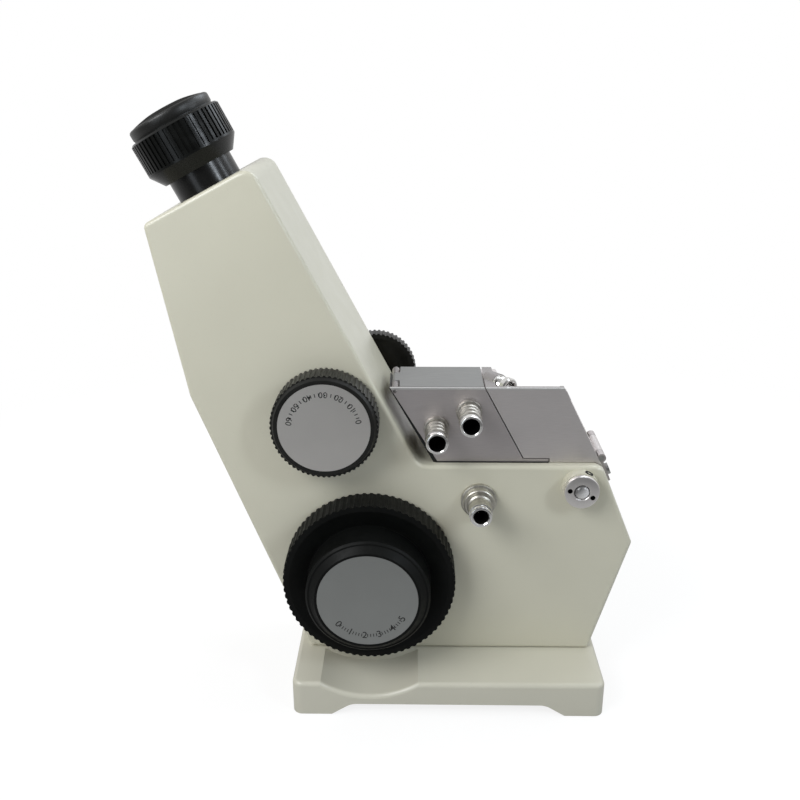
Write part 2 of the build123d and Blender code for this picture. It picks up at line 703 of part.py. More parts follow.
def focus_ring():
    bore = TUBE_RADIUS + LOOSE / 2
    web = FOCUS_BAND_TOP - 3.6
    profile = [
        (bore, FOCUS_BOTTOM),
        (TUBE_RADIUS + 1.6, FOCUS_BOTTOM),
        (FOCUS_RADIUS - 0.4, FOCUS_BAND_BOTTOM - 0.6),
        (FOCUS_RADIUS, FOCUS_BAND_BOTTOM),
        (FOCUS_RADIUS, FOCUS_BAND_TOP - 0.7),
        (FOCUS_RADIUS - 0.7, FOCUS_BAND_TOP),
        (BARREL_RADIUS + 0.1, FOCUS_BAND_TOP),
        (BARREL_RADIUS + 0.1, web),
        (bore, web),
    ]
    ring = turned(profile)
    band = FOCUS_BAND_TOP - FOCUS_BAND_BOTTOM - 2 * RIB_BAND_MARGIN
    width = 2 * pi * FOCUS_RADIUS / FOCUS_RIBS * 0.45
    cutter = Pos(FOCUS_RADIUS, 0, FOCUS_BAND_BOTTOM + RIB_BAND_MARGIN) * Box(
        RIB_DEPTH * 2, width, band, align=BASE
    )
    ring -= [Rot(Z=360 / FOCUS_RIBS * index) * cutter for index in range(FOCUS_RIBS)]
    return TELESCOPE * ring


def eye_cap():
    low = FOCUS_BAND_TOP
    edge = (EYE_CAP_RADIUS + 0.1, EYE_CAP_TOP - 3.4)
    crown = (EYE_HOLE_RADIUS + 1.6, EYE_CAP_TOP)
    middle = (EYE_CAP_RADIUS - 2.6, EYE_CAP_TOP - 0.9)
    outline = Plane.XZ * (
        Polyline(
            (EYE_HOLE_RADIUS, EYE_CAP_TOP - 1.0),
            (EYE_HOLE_RADIUS, BARREL_TOP + 0.15),
            (EYE_FLANGE_RADIUS + 0.2, BARREL_TOP + 0.15),
            (EYE_FLANGE_RADIUS + 0.2, low),
            (EYE_CAP_RADIUS - 0.4, low),
            (EYE_CAP_RADIUS - 0.4, low + 0.7),
            (EYE_CAP_RADIUS, low + 1.1),
            edge,
        )
        + ThreePointArc(edge, middle, crown)
        + Line(crown, (EYE_HOLE_RADIUS, EYE_CAP_TOP - 1.0))
    )
    return TELESCOPE * revolve(make_face(outline), Axis.Z)


# ------------------------------------------------------------------ dispersion drive
CROWN_RADIUS = CROWN_MODULE * CROWN_TEETH / 2
CROWN_PITCH = CROWN_MODULE * CROWN_PINION_TEETH / 2
CROWN_OUTER = CROWN_RADIUS + CROWN_FACE / 2
CROWN_ROOT = CROWN_PITCH + DEDENDUM * CROWN_MODULE
CROWN_BODY = 2.4
FRAME_NEAR = CROWN_ROOT + CROWN_BODY + 0.4
FRAME_PLATE = 6.0
FRAME_HALF_WIDTH = COLUMN_FRONT - WALL
FRAME_BAR = 2.4
DIAL_MODULE = 2 * DIAL_OFFSET / (DIAL_GEAR_TEETH + DIAL_DRIVE_TEETH)
DIAL_GEAR_NEAR = CROWN_OUTER + 1.8
DIAL_GEAR_WIDTH = 2.2
DIAL_GEAR_RADIUS = DIAL_MODULE * (DIAL_GEAR_TEETH / 2 + ADDENDUM)


def compensator_frame():
    plate = Box(2 * FRAME_HALF_WIDTH, 2 * 13.0, FRAME_PLATE, align=BASE)
    bore = Cylinder(AMICI_TUBE_RADIUS + RUNNING, FRAME_PLATE * 3)
    upper = Pos(0, 0, FRAME_NEAR) * plate
    lower = Pos(0, 0, -FRAME_NEAR - FRAME_PLATE) * plate
    bar = Box(FRAME_BAR, 12, 2 * FRAME_NEAR)
    reach = FRAME_HALF_WIDTH - FRAME_BAR / 2
    frame = upper + lower + Pos(reach, 0, 0) * bar + Pos(-reach, 0, 0) * bar
    frame += Pos(0, 0, FRAME_NEAR + FRAME_PLATE) * tube(
        TELESCOPE_TUBE_RADIUS + 2, TELESCOPE_TUBE_RADIUS + RUNNING, 7.0
    )
    frame -= Pos(0, 0, FRAME_NEAR + FRAME_PLATE / 2) * bore
    frame -= Pos(0, 0, -FRAME_NEAR - FRAME_PLATE / 2) * bore
    return TELESCOPE * frame


def amici_mount():
    """Crown gear with its prism tube, above the shaft; the lower one is its mirror image."""
    ring = Pos(0, 0, CROWN_ROOT) * tube(CROWN_OUTER, AMICI_BORE, CROWN_BODY)
    top = FRAME_NEAR + FRAME_PLATE + 1.6
    ring += Pos(0, 0, CROWN_ROOT) * tube(AMICI_TUBE_RADIUS, AMICI_BORE, top - CROWN_ROOT)
    half = pi * CROWN_MODULE / 4 - CROWN_BACKLASH / 2
    slope = tan(radians(PRESSURE_ANGLE))
    root = half + DEDENDUM * CROWN_MODULE * slope
    tip = half - ADDENDUM * CROWN_MODULE * slope
    section = Plane.YZ * Polyline(
        (-root, CROWN_ROOT + 0.05),
        (-root, CROWN_ROOT),
        (-tip, CROWN_PITCH - ADDENDUM * CROWN_MODULE),
        (tip, CROWN_PITCH - ADDENDUM * CROWN_MODULE),
        (root, CROWN_ROOT),
        (root, CROWN_ROOT + 0.05),
        close=True,
    )
    tooth = Pos(CROWN_OUTER - CROWN_FACE, 0, 0) * extrude(make_face(section), CROWN_FACE)
    step = 360 / CROWN_TEETH
    ring += [Rot(Z=step * (index + 0.5)) * tooth for index in range(CROWN_TEETH)]
    return ring


def amici_mount_upper():
    return TELESCOPE * amici_mount()


def amici_mount_lower():
    return TELESCOPE * mirror(amici_mount(), Plane.XY)


def amici_prism():
    """Square direct-vision stack of cemented prisms, above the shaft."""
    width = AMICI_BORE * sqrt(2) - 2 * SEATED
    low = CROWN_ROOT + 0.6
    height = FRAME_NEAR + FRAME_PLATE + 1.0 - low
    return Pos(0, 0, low) * Box(width, width, height, align=BASE)


def amici_prism_upper():
    return TELESCOPE * amici_prism()


def amici_prism_lower():
    return TELESCOPE * mirror(amici_prism(), Plane.XY)


KNOB_CHAMFER = 1.2
KNOB_FLOOR = 2.4
DISC_RECESS = 0.8
DISC_THICKNESS = 0.7
DIAL_CHAMFER = 3.0
DIAL_WALL = 2.4
DIAL_HOLLOW = 2.5
DIAL_SHAFT_GRIP = 6.6


def crown_pinion(side):
    """Pinion teeth on the dispersion shaft, tooth 0 pointing up the telescope."""
    gear = spur_gear(CROWN_MODULE, CROWN_PINION_TEETH, CROWN_BACKLASH, CROWN_FACE + 1.0)
    reach = CROWN_RADIUS - (CROWN_FACE + 1.0) / 2
    place = Plane(
        origin=(CROSSING_X, side * reach, CROSSING_Z), x_dir=(-SIN_T, 0, COS_T), z_dir=(0, side, 0)
    )
    return place * gear


def dispersion_shaft():
    start = CROWN_RADIUS - CROWN_FACE / 2 - 0.5
    shaft = rod(CROSSING_X, CROSSING_Z, -KNOB_FRONT + KNOB_FLOOR, -start, DISPERSION_SHAFT_RADIUS)
    return shaft + crown_pinion(-1)


def dial_drive_shaft():
    start = CROWN_RADIUS - CROWN_FACE / 2 - 0.5
    shaft = rod(CROSSING_X, CROSSING_Z, start, HALF - 1.4, DISPERSION_SHAFT_RADIUS)
    gear = spur_gear(DIAL_MODULE, DIAL_DRIVE_TEETH, GEAR_BACKLASH, DIAL_GEAR_WIDTH)
    gear = facing(CROSSING_X, CROSSING_Z, DIAL_GEAR_NEAR + DIAL_GEAR_WIDTH, gear)
    return shaft + crown_pinion(1) + gear


def dial_shaft():
    end = DIAL_BACK + DIAL_SHAFT_GRIP - 0.1
    shaft = rod(DIAL_X, DIAL_Z, DIAL_GEAR_NEAR, end, DIAL_SHAFT_RADIUS)
    gear = spur_gear(DIAL_MODULE, DIAL_GEAR_TEETH, GEAR_BACKLASH, DIAL_GEAR_WIDTH)
    return shaft + facing(DIAL_X, DIAL_Z, DIAL_GEAR_NEAR + DIAL_GEAR_WIDTH, gear)


def dispersion_knob():
    rim = KNOB_DEPTH - KNOB_CHAMFER
    body = scalloped(KNOB_RADIUS, SCALLOP_DEPTH, KNOB_SCALLOP_COUNT, rim)
    top = KNOB_RADIUS - SCALLOP_DEPTH - 0.2
    body += Pos(0, 0, rim) * Cone(top, top - KNOB_CHAMFER * 0.7, KNOB_CHAMFER, align=BASE)
    body -= Pos(0, 0, KNOB_DEPTH - DISC_RECESS) * Cylinder(
        KNOB_DISC_RADIUS + SEATED, DISC_RECESS * 2, align=BASE
    )
    body -= Cylinder(DISPERSION_SHAFT_RADIUS + SEATED / 2, KNOB_DEPTH - KNOB_FLOOR, align=BASE)
    return facing(CROSSING_X, CROSSING_Z, -KNOB_BACK, body)


def dispersion_disc():
    disc = Cylinder(KNOB_DISC_RADIUS, DISC_THICKNESS, align=BASE)
    return facing(CROSSING_X, CROSSING_Z, -KNOB_FRONT + DISC_RECESS, disc)


def dial_knob():
    rim = DIAL_DEPTH - DIAL_CHAMFER
    body = scalloped(DIAL_RADIUS, SCALLOP_DEPTH, DIAL_SCALLOP_COUNT, rim)
    top = DIAL_RADIUS - SCALLOP_DEPTH - 0.1
    body += Pos(0, 0, rim) * Cone(top, DIAL_RADIUS - DIAL_CHAMFER, DIAL_CHAMFER, align=BASE)
    body -= Cylinder(DIAL_SHAFT_RADIUS + SEATED / 2, DIAL_SHAFT_GRIP, align=BASE)
    body -= tube(DIAL_RADIUS - DIAL_WALL, DIAL_SHAFT_RADIUS + BOSS_WALL, DIAL_HOLLOW)
    return facing_far(DIAL_X, DIAL_Z, DIAL_BACK, body)


# ------------------------------------------------------------------ refractive-index drive
CENTRE_DISTANCE = hypot(WHEEL_X - MIRROR_X, WHEEL_Z - MIRROR_Z)
SECTOR_MODULE = 2 * CENTRE_DISTANCE / (PINION_TEETH + SECTOR_TEETH)
SECTOR_RADIUS = SECTOR_MODULE * SECTOR_TEETH / 2
SECTOR_NEAR = INNER - 8.4
SECTOR_WIDTH = 3.0
SECTOR_TOOTH_COUNT = 2 * ceil((SECTOR_SWING + 7) / 360 * SECTOR_TEETH) + 1
TO_WHEEL = degrees(atan2(WHEEL_Z - MIRROR_Z, WHEEL_X - MIRROR_X))
TO_LIGHT = degrees(atan2(CONDENSER_Z - MIRROR_Z, CONDENSER_X - MIRROR_X))
BEAM_X = (SHELF_OPENING[0] + SHELF_OPENING[1]) / 2


WHEEL_DISH = 2.6
WHEEL_LIP = 2.2
WHEEL_WALL = 3.0
WHEEL_BOSS = 6.0
WHEEL_HOLLOW = 3.0
WHEEL_FLOOR = 3.0
HUB_BEVEL = 2.4
DISC_RIM = 1.4
WHEEL_DISC_RECESS = 0.9


def mirror_normal():
    """Polar angle in XZ halfway between the telescope and the beam from the prisms."""
    up = degrees(atan2(COS_T, -SIN_T))
    beam = degrees(atan2(SHELF_HEIGHT - MIRROR_Z, BEAM_X - MIRROR_X))
    return (up + beam) / 2


def adjust_shaft():
    step = SECTOR_NEAR - 1.0
    shaft = rod(WHEEL_X, WHEEL_Z, -WHEEL_FRONT + WHEEL_FLOOR, step, WHEEL_SHAFT_RADIUS)
    shaft += rod(WHEEL_X, WHEEL_Z, step, HALF - 1.4, PINION_SPIGOT)
    gear = spur_gear(SECTOR_MODULE, PINION_TEETH, GEAR_BACKLASH, SECTOR_WIDTH + 1.0)
    turn = TO_WHEEL + 180 + 180 / PINION_TEETH
    place = Plane.XZ * Pos(WHEEL_X, WHEEL_Z, -SECTOR_NEAR - SECTOR_WIDTH - 0.5) * Rot(Z=turn)
    return shaft + place * gear


def adjust_wheel():
    rim = WHEEL_RIM_DEPTH
    body = scalloped(WHEEL_RADIUS, SCALLOP_DEPTH, WHEEL_SCALLOP_COUNT, rim)
    dish = [
        (0, rim + 0.1),
        (0, rim - WHEEL_DISH),
        (WHEEL_HUB_RADIUS + 0.4, rim - WHEEL_DISH),
        (WHEEL_RADIUS - WHEEL_LIP, rim + 0.1),
    ]
    body -= turned(dish)
    step = WHEEL_DEPTH - HUB_BEVEL
    hub = [
        (0, 0),
        (WHEEL_HUB_RADIUS, 0),
        (WHEEL_HUB_RADIUS, step - 0.8),
        (WHEEL_HUB_RADIUS - 0.8, step),
        (WHEEL_HUB_RADIUS - 1.4, step),
        (WHEEL_DISC_RADIUS + DISC_RIM, WHEEL_DEPTH - 0.4),
        (WHEEL_DISC_RADIUS + DISC_RIM - 0.4, WHEEL_DEPTH),
        (WHEEL_DISC_RADIUS + SEATED, WHEEL_DEPTH),
        (WHEEL_DISC_RADIUS + SEATED, WHEEL_DEPTH - WHEEL_DISC_RECESS),
        (0, WHEEL_DEPTH - WHEEL_DISC_RECESS),
    ]
    body += turned(hub)
    body -= Cylinder(WHEEL_SHAFT_RADIUS + SEATED / 2, WHEEL_DEPTH - WHEEL_FLOOR, align=BASE)
    body -= tube(WHEEL_RADIUS - WHEEL_WALL, WHEEL_SHAFT_RADIUS + WHEEL_BOSS, WHEEL_HOLLOW)
    return facing(WHEEL_X, WHEEL_Z, -WHEEL_BACK, body)


def adjust_disc():
    disc = Cylinder(WHEEL_DISC_RADIUS, WHEEL_DISC_RECESS - 0.1, align=BASE)
    return facing(WHEEL_X, WHEEL_Z, -WHEEL_FRONT + WHEEL_DISC_RECESS, disc)


MIRROR_GLASS = 2.0
MIRROR_TRAY = 1.6
SECTOR_HUB = MIRROR_SHAFT_RADIUS + 2.6
SCALE_NEAR = 4.6 - INNER
MIRROR_WIDTH = 2 * (SECTOR_NEAR - 2.6)
SCALE_GLASS = 1.5
CARRIER = 1.8


def mirror_shaft():
    return rod(MIRROR_X, MIRROR_Z, -INNER - 1.2, HALF - 1.4, MIRROR_SHAFT_RADIUS)


def on_mirror(part):
    """Local X along the mirror, local Z along its normal, local origin on the pivot."""
    angle = radians(mirror_normal())
    normal = (cos(angle), 0, sin(angle))
    place = Plane(origin=(MIRROR_X, 0, MIRROR_Z), x_dir=(sin(angle), 0, -cos(angle)), z_dir=normal)
    return place * part


def pie(inner, outer, middle, half, y0, y1):
    """Ring sector round the mirror pivot, between two polar angles."""
    a, b, m = (radians(middle + turn) for turn in (-half, half, 0))
    def at(radius, angle):
        return (MIRROR_X + radius * cos(angle), MIRROR_Z + radius * sin(angle))
    edge = (
        Line(at(inner, a), at(outer, a))
        + ThreePointArc(at(outer, a), at(outer, m), at(outer, b))
        + Line(at(outer, b), at(inner, b))
        + ThreePointArc(at(inner, b), at(inner, m), at(inner, a))
    )
    return Plane.XZ * Pos(0, 0, -y1) * extrude(make_face(edge), y1 - y0)


def sector():
    part = rod(MIRROR_X, MIRROR_Z, SCALE_NEAR - CARRIER, SECTOR_NEAR + SECTOR_WIDTH, SECTOR_HUB)
    first = -(SECTOR_TOOTH_COUNT // 2)
    points = gear_points(SECTOR_MODULE, SECTOR_TEETH, GEAR_BACKLASH, first, SECTOR_TOOTH_COUNT)
    teeth = extrude(make_face(Polyline((0, 0), *points, close=True)), SECTOR_WIDTH)
    window = pie(SECTOR_HUB + 3, SECTOR_RADIUS - 4.5, TO_WHEEL, SECTOR_SWING, 0, HALF)
    place = Plane.XZ * Pos(MIRROR_X, MIRROR_Z, -SECTOR_NEAR - SECTOR_WIDTH) * Rot(Z=TO_WHEEL)
    part += place * teeth
    carrier = pie(1, SCALE_INNER + 2, TO_LIGHT, SCALE_HALF_ANGLE, SCALE_NEAR - CARRIER, SCALE_NEAR)
    part += carrier
    part -= window & (place * (Pos(0, 0, -1) * Cylinder(SECTOR_RADIUS, SECTOR_WIDTH + 2, align=BASE)))
    part -= pie(
        SECTOR_HUB + 4, SCALE_INNER - 4, TO_LIGHT, SCALE_HALF_ANGLE - 5, SCALE_NEAR - 3, SCALE_NEAR + 1
    )
    tray = Pos(0, 0, SECTOR_HUB - MIRROR_TRAY) * Box(
        MIRROR_LENGTH, MIRROR_WIDTH, MIRROR_TRAY, align=BASE
    )
    part += on_mirror(tray)
    part -= rod(MIRROR_X, MIRROR_Z, -HALF, HALF, MIRROR_SHAFT_RADIUS + RUNNING)
    return part


def swing_mirror():
    glass = Pos(0, 0, SECTOR_HUB) * Box(MIRROR_LENGTH - 1, MIRROR_WIDTH - 1, MIRROR_GLASS, align=BASE)
    return on_mirror(glass)


def scale_glass():
    return pie(
        SCALE_INNER, SCALE_OUTER, TO_LIGHT, SCALE_HALF_ANGLE - 0.5, SCALE_NEAR, SCALE_NEAR + SCALE_GLASS
    )


# ------------------------------------------------------------------ fixed prism seat
FILM_SLOPE = tan(radians(FILM_TILT))
FILM_COS = cos(radians(FILM_TILT))
SEAT_LEFT_SLOPE = tan(radians(SEAT_LEFT_TILT))
SHADE_SLOPE = tan(radians(SHADE_TILT))
SHADE_COS = cos(radians(SHADE_TILT))
PLATE_TOP = SHELF_HEIGHT + SEAT_PLATE
FAR_TOP = SEAT_TOP - SEAT_STEP_DROP
FLAP_LIP = 1.4
FLAP_GAP = 0.2
FLAP_LOW = SEAT_TOP - MIRROR_FLAP_THICKNESS
SEAT_BODY_TOP = FLAP_LOW - FLAP_GAP
FLAP_PIN_RADIUS = 0.75
FLAP_KNUCKLE = 1.5
FLAP_KNUCKLE_Y = (-12.0, -2.0)
FLAP_X = SEAT_TOP_LEFT_X + FLAP_KNUCKLE + 0.4
FLAP_Z = SEAT_TOP - FLAP_KNUCKLE
FLAP_END_X = FILM_TOP_X - 0.1
WINDOW_X = (SHELF_END_X - 69.7, SHELF_END_X - 55.7)
WINDOW_Y = (-13.0, -1.0)
WINDOW_GLASS = 1.2
FLAP_MIRROR = 0.9
PRISM_START = 5.0
PRISM_DEPTH = 12.0
PRISM_LEDGE = 2.0
STUD_X = SHELF_END_X - 44.7
STUD_Z = SHELF_HEIGHT + 12.0
STUD_RADIUS = 2.0
STUD_SOCKET = 4.0
NIPPLE_SPIGOT = 3.4
NIPPLE_SOCKET = 4.0
NIPPLE_COLLAR = 2.6
BARB_DEPTH = 0.9
BARB_FREE = 4.0
SEAT_NIPPLES = [
    (SHELF_END_X - 66.1, SHELF_HEIGHT + 14.8),
    (SHELF_END_X - 53.3, SHELF_HEIGHT + 21.8),
]


def film_x(z):
    return FILM_TOP_X + (SEAT_TOP - z) * FILM_SLOPE


def seat_left_x(z):
    return SEAT_TOP_LEFT_X + (SEAT_TOP - z) * SEAT_LEFT_SLOPE


def shade_x(z):
    """Outer face of the lid's shade frame."""
    return LID_TOP_RIGHT_X + (SEAT_TOP - z) * SHADE_SLOPE


def on_film(along, out):
    """World (x, z) of a point measured down the film face and outwards from it."""
    down = (sin(radians(FILM_TILT)), -FILM_COS)
    return (
        FILM_TOP_X + along * down[0] + out * FILM_COS,
        SEAT_TOP + along * down[1] + out * sin(radians(FILM_TILT)),
    )


def seat_outline(top):
    return [
        (seat_left_x(SHELF_HEIGHT), SHELF_HEIGHT),
        (seat_left_x(top), top),
        (film_x(top), top),
        (film_x(PLATE_TOP), PLATE_TOP),
        (SEAT_FOOT_END_X, PLATE_TOP),
        (SEAT_FOOT_END_X, SHELF_HEIGHT),
    ]


def refracting_outline(extra):
    """Cross-section of the measuring prism, grown by a clearance on its buried sides."""
    end = PRISM_START + PRISM_FACE
    middle = (PRISM_START + end) / 2
    return [
        on_film(PRISM_START - extra, extra),
        on_film(end + extra, extra),
        on_film(end + extra, -PRISM_LEDGE),
        on_film(middle, -PRISM_DEPTH - extra),
        on_film(PRISM_START - extra, -PRISM_LEDGE),
    ]


def seat_nipple_bores(reach, radius):
    holes = [rod(x, z, -SEAT_NEAR - 1, -SEAT_NEAR + reach, radius) for x, z in SEAT_NIPPLES]
    return holes


def prism_seat():
    lip = slab(seat_outline(SEAT_TOP), -SEAT_NEAR, FLAP_LIP - SEAT_NEAR)
    body = slab(seat_outline(SEAT_BODY_TOP), -SEAT_NEAR, SEAT_STEP_Y)
    body += lip + slab(seat_outline(FAR_TOP), SEAT_STEP_Y - 1, SEAT_NEAR)
    low, high = FLAP_KNUCKLE_Y
    for start, end in ((FLAP_LIP - SEAT_NEAR, low - LOOSE), (high + LOOSE, SEAT_STEP_Y)):
        body += rod(FLAP_X, FLAP_Z, start, end, FLAP_KNUCKLE)
        body += slab(
            [
                (FLAP_X - FLAP_KNUCKLE, FLAP_Z),
                (FLAP_X + FLAP_KNUCKLE, FLAP_Z),
                (FLAP_X + FLAP_KNUCKLE, SEAT_BODY_TOP - 1),
                (FLAP_X - FLAP_KNUCKLE + 1, SEAT_BODY_TOP - 1),
            ],
            start,
            end,
        )
    body -= rod(FLAP_X, FLAP_Z, low - LOOSE, high + LOOSE, FLAP_KNUCKLE + LOOSE)
    body -= rod(FLAP_X, FLAP_Z, -SEAT_NEAR - 1, SEAT_STEP_Y + 1, FLAP_PIN_RADIUS + SEATED)
    half = PRISM_WIDTH / 2 + SEATED
    body -= slab(refracting_outline(SEATED), -half, half)
    x0, x1 = SHELF_OPENING
    tip = on_film(PRISM_START + PRISM_FACE / 2, -PRISM_DEPTH)
    low = SHELF_HEIGHT - 1
    channel = [(x0 + 1, low), (x0 + 1, tip[1]), (x1 - 1, tip[1]), (x1 - 1, low)]
    body -= slab(channel, -SHELF_OPENING_HALF, SHELF_OPENING_HALF)
    wx0, wx1 = WINDOW_X
    wy0, wy1 = WINDOW_Y
    light = [(wx0 + 1, SEAT_BODY_TOP + 1), (wx1 - 1, SEAT_BODY_TOP + 1), tip, (x0 + 1, tip[1])]
    body -= slab(light, wy0 + 1, wy1 - 1)
    glass = Pos((wx0 + wx1) / 2, (wy0 + wy1) / 2, SEAT_BODY_TOP) * Box(
        wx1 - wx0 + 2 * SEATED, wy1 - wy0 + 2 * SEATED, 2 * WINDOW_GLASS
    )
    body -= glass
    for x, y in SEAT_SCREWS:
        body -= Pos(x, y, SHELF_HEIGHT - 1) * Cylinder(
            SEAT_SCREW_RADIUS + SEATED, SEAT_SCREW_BITE + 1.5, align=BASE
        )
    body -= rod(STUD_X, STUD_Z, SEAT_NEAR - STUD_SOCKET, SEAT_NEAR + 1, STUD_RADIUS + SEATED)
    body -= seat_nipple_bores(NIPPLE_SOCKET, NIPPLE_SPIGOT + SEATED)
    body -= seat_nipple_bores(NIPPLE_SOCKET + 6, NIPPLE_BORE)
    return body


def seat_screws():
    length = WALL + SEAT_SCREW_BITE
    screw = cap_screw(SEAT_SCREW_RADIUS, SEAT_SCREW_HEAD, SEAT_SCREW_HEAD_HEIGHT, length)
    return Compound([Pos(x, y, SHELF_HEIGHT - WALL) * screw for x, y in SEAT_SCREWS])


def refracting_prism():
    half = PRISM_WIDTH / 2
    return slab(refracting_outline(0), -half, half)


def window_glass():
    x0, x1 = WINDOW_X
    y0, y1 = WINDOW_Y
    plate = Box(x1 - x0, y1 - y0, WINDOW_GLASS, align=BASE)
    return Pos((x0 + x1) / 2, (y0 + y1) / 2, SEAT_BODY_TOP - WINDOW_GLASS) * plate


def lock_stud():
    return rod(STUD_X, STUD_Z, SEAT_NEAR - STUD_SOCKET, LOCK_FRONT - 1, STUD_RADIUS)


def hose_nipple(length, spigot, ridges):
    """Barbed spout along +Z from its seat face, with a spigot below it."""
    shank = NIPPLE_RADIUS - BARB_DEPTH
    step = (length - BARB_FREE) / ridges
    points = [(NIPPLE_BORE, -spigot), (NIPPLE_SPIGOT, -spigot), (NIPPLE_SPIGOT, 0)]
    points += [(NIPPLE_RADIUS, 0), (NIPPLE_RADIUS, BARB_DEPTH)]
    for index in range(ridges):
        low = BARB_DEPTH + index * step
        points += [(shank, low + 0.05), (shank, low + step * 0.45)]
        points += [(NIPPLE_RADIUS - 0.2, low + step * 0.55), (shank + 0.2, low + step * 0.98)]
    collar = length - NIPPLE_COLLAR
    points += [(shank, collar - 0.3), (NIPPLE_RADIUS, collar), (NIPPLE_RADIUS, length - 0.5)]
    points += [(NIPPLE_RADIUS - 0.5, length), (NIPPLE_BORE + 0.4, length), (NIPPLE_BORE, length - 0.4)]
    return turned(points)


def seat_nipples():
    nipple = hose_nipple(NIPPLE_LENGTH, NIPPLE_SOCKET, NIPPLE_RIDGE_COUNT)
    return Compound([facing(x, z, -SEAT_NEAR, nipple) for x, z in SEAT_NIPPLES])


def mirror_flap():
    y0, y1 = FLAP_LIP - SEAT_NEAR + FLAP_GAP, SEAT_STEP_Y
    start = FLAP_X + FLAP_KNUCKLE + LOOSE
    leaf = [(start, FLAP_LOW), (start, SEAT_TOP), (FLAP_END_X, SEAT_TOP), (FLAP_END_X, FLAP_LOW)]
    neck = [(FLAP_X, FLAP_LOW), (FLAP_X, SEAT_TOP), (start + 1, SEAT_TOP), (start + 1, FLAP_LOW)]
    low, high = FLAP_KNUCKLE_Y
    plate = slab(leaf, y0, y1) + slab(neck, low, high)
    plate += rod(FLAP_X, FLAP_Z, low, high, FLAP_KNUCKLE)
    plate -= rod(FLAP_X, FLAP_Z, low - 1, high + 1, FLAP_PIN_RADIUS + RUNNING)
    x0, x1 = WINDOW_X
    wy0, wy1 = WINDOW_Y
    pocket = Box(x1 - x0, wy1 - wy0, 2 * FLAP_MIRROR)
    return plate - Pos((x0 + x1) / 2, (wy0 + wy1) / 2, FLAP_LOW) * pocket


def flap_mirror():
    x0, x1 = WINDOW_X
    y0, y1 = WINDOW_Y
    glass = Box(x1 - x0 - 2 * SEATED, y1 - y0 - 2 * SEATED, FLAP_MIRROR, align=BASE)
    return Pos((x0 + x1) / 2, (y0 + y1) / 2, FLAP_LOW) * glass


def flap_pin():
    return rod(FLAP_X, FLAP_Z, FLAP_LIP - SEAT_NEAR, SEAT_STEP_Y, FLAP_PIN_RADIUS)


# ------------------------------------------------------------------ hinged prism seat (lid)
LID_FAR_TOP = FAR_TOP
LID_CHEEK_END = SHADE_THICKNESS / SHADE_COS
LID_LOW = SHELF_HEIGHT + LID_CLEARANCE
LID_STEP_LOW = PLATE_TOP + LID_CLEARANCE
LID_STEP_X = SEAT_FOOT_END_X + 0.4
LID_FLOOR_TOP = LID_STEP_LOW + LID_FLOOR / 2
FILM_SHIFT = FILM_GAP / FILM_COS
LID_PRISM_START = 8.5
LID_PRISM_FACE = 18.5
LID_PRISM_WIDTH = 16.0
LID_PRISM_DEPTH = 11.0
LID_NIPPLE_SPIGOT = 1.5
LID_NIPPLE_LENGTH = 6.5
LID_BOSS = 6.0
LID_NIPPLES = [
    (10.6 - SEAT_NEAR, SHELF_HEIGHT + 29.0, 50.0, 0.6),
    (7.7 - SEAT_NEAR, SHELF_HEIGHT + 13.0, 0.0, 2.4),
]
LOCK_RADIUS = 6.5
LOCK_BACK = SEAT_NEAR + 2.6
LOCK_DEPTH = 7.4
LOCK_FRONT = LOCK_BACK + LOCK_DEPTH
LOCK_SCALLOP_COUNT = 24
LOCK_SLOT = 2.6
ARM_BORDER = 2.6
ARM_PAD = 10.0
SLOT_REACH = 12.0
LOCK_ARM = (SEAT_NEAR + LOOSE, LOCK_BACK - LOOSE)


def lid_cheek(top):
    return [
        (film_x(top) + FILM_SHIFT, top),
        (shade_x(top) - LID_CHEEK_END, top),
        (shade_x(LID_LOW) - LID_CHEEK_END, LID_LOW),
        (LID_STEP_X, LID_LOW),
        (LID_STEP_X, LID_STEP_LOW),
        (film_x(LID_STEP_LOW) + FILM_SHIFT, LID_STEP_LOW),
    ]


def lid_wall(top):
    return [
        (film_x(top) + FILM_SHIFT, top),
        (film_x(top) + LID_WALL, top),
        (film_x(LID_STEP_LOW) + LID_WALL, LID_STEP_LOW),
        (film_x(LID_STEP_LOW) + FILM_SHIFT, LID_STEP_LOW),
    ]


def shade_strip(top, low, y0, y1, thickness):
    shift = thickness / SHADE_COS
    outer_top, outer_low = shade_x(top), shade_x(low)
    return slab(
        [(outer_top - shift, top), (outer_top, top), (outer_low, low), (outer_low - shift, low)], y0, y1
    )


def lid_prism_outline(extra):
    start = LID_PRISM_START
    end = start + LID_PRISM_FACE
    middle = (start + end) / 2
    return [
        on_film(start - extra, FILM_GAP - extra),
        on_film(start - extra, FILM_GAP + PRISM_LEDGE),
        on_film(middle, LID_PRISM_DEPTH),
        on_film(end + extra, FILM_GAP + PRISM_LEDGE),
        on_film(end + extra, FILM_GAP - extra),
    ]


def lid_nipple_place(y, z, turn, boss):
    """On a boss of the film wall, pointing away from it, turned towards the near side."""
    out = (cos(radians(turn)), -sin(radians(turn)), 0)
    return Plane(origin=(film_x(z) + LID_WALL + boss, y, z), x_dir=(0, 0, 1), z_dir=out)


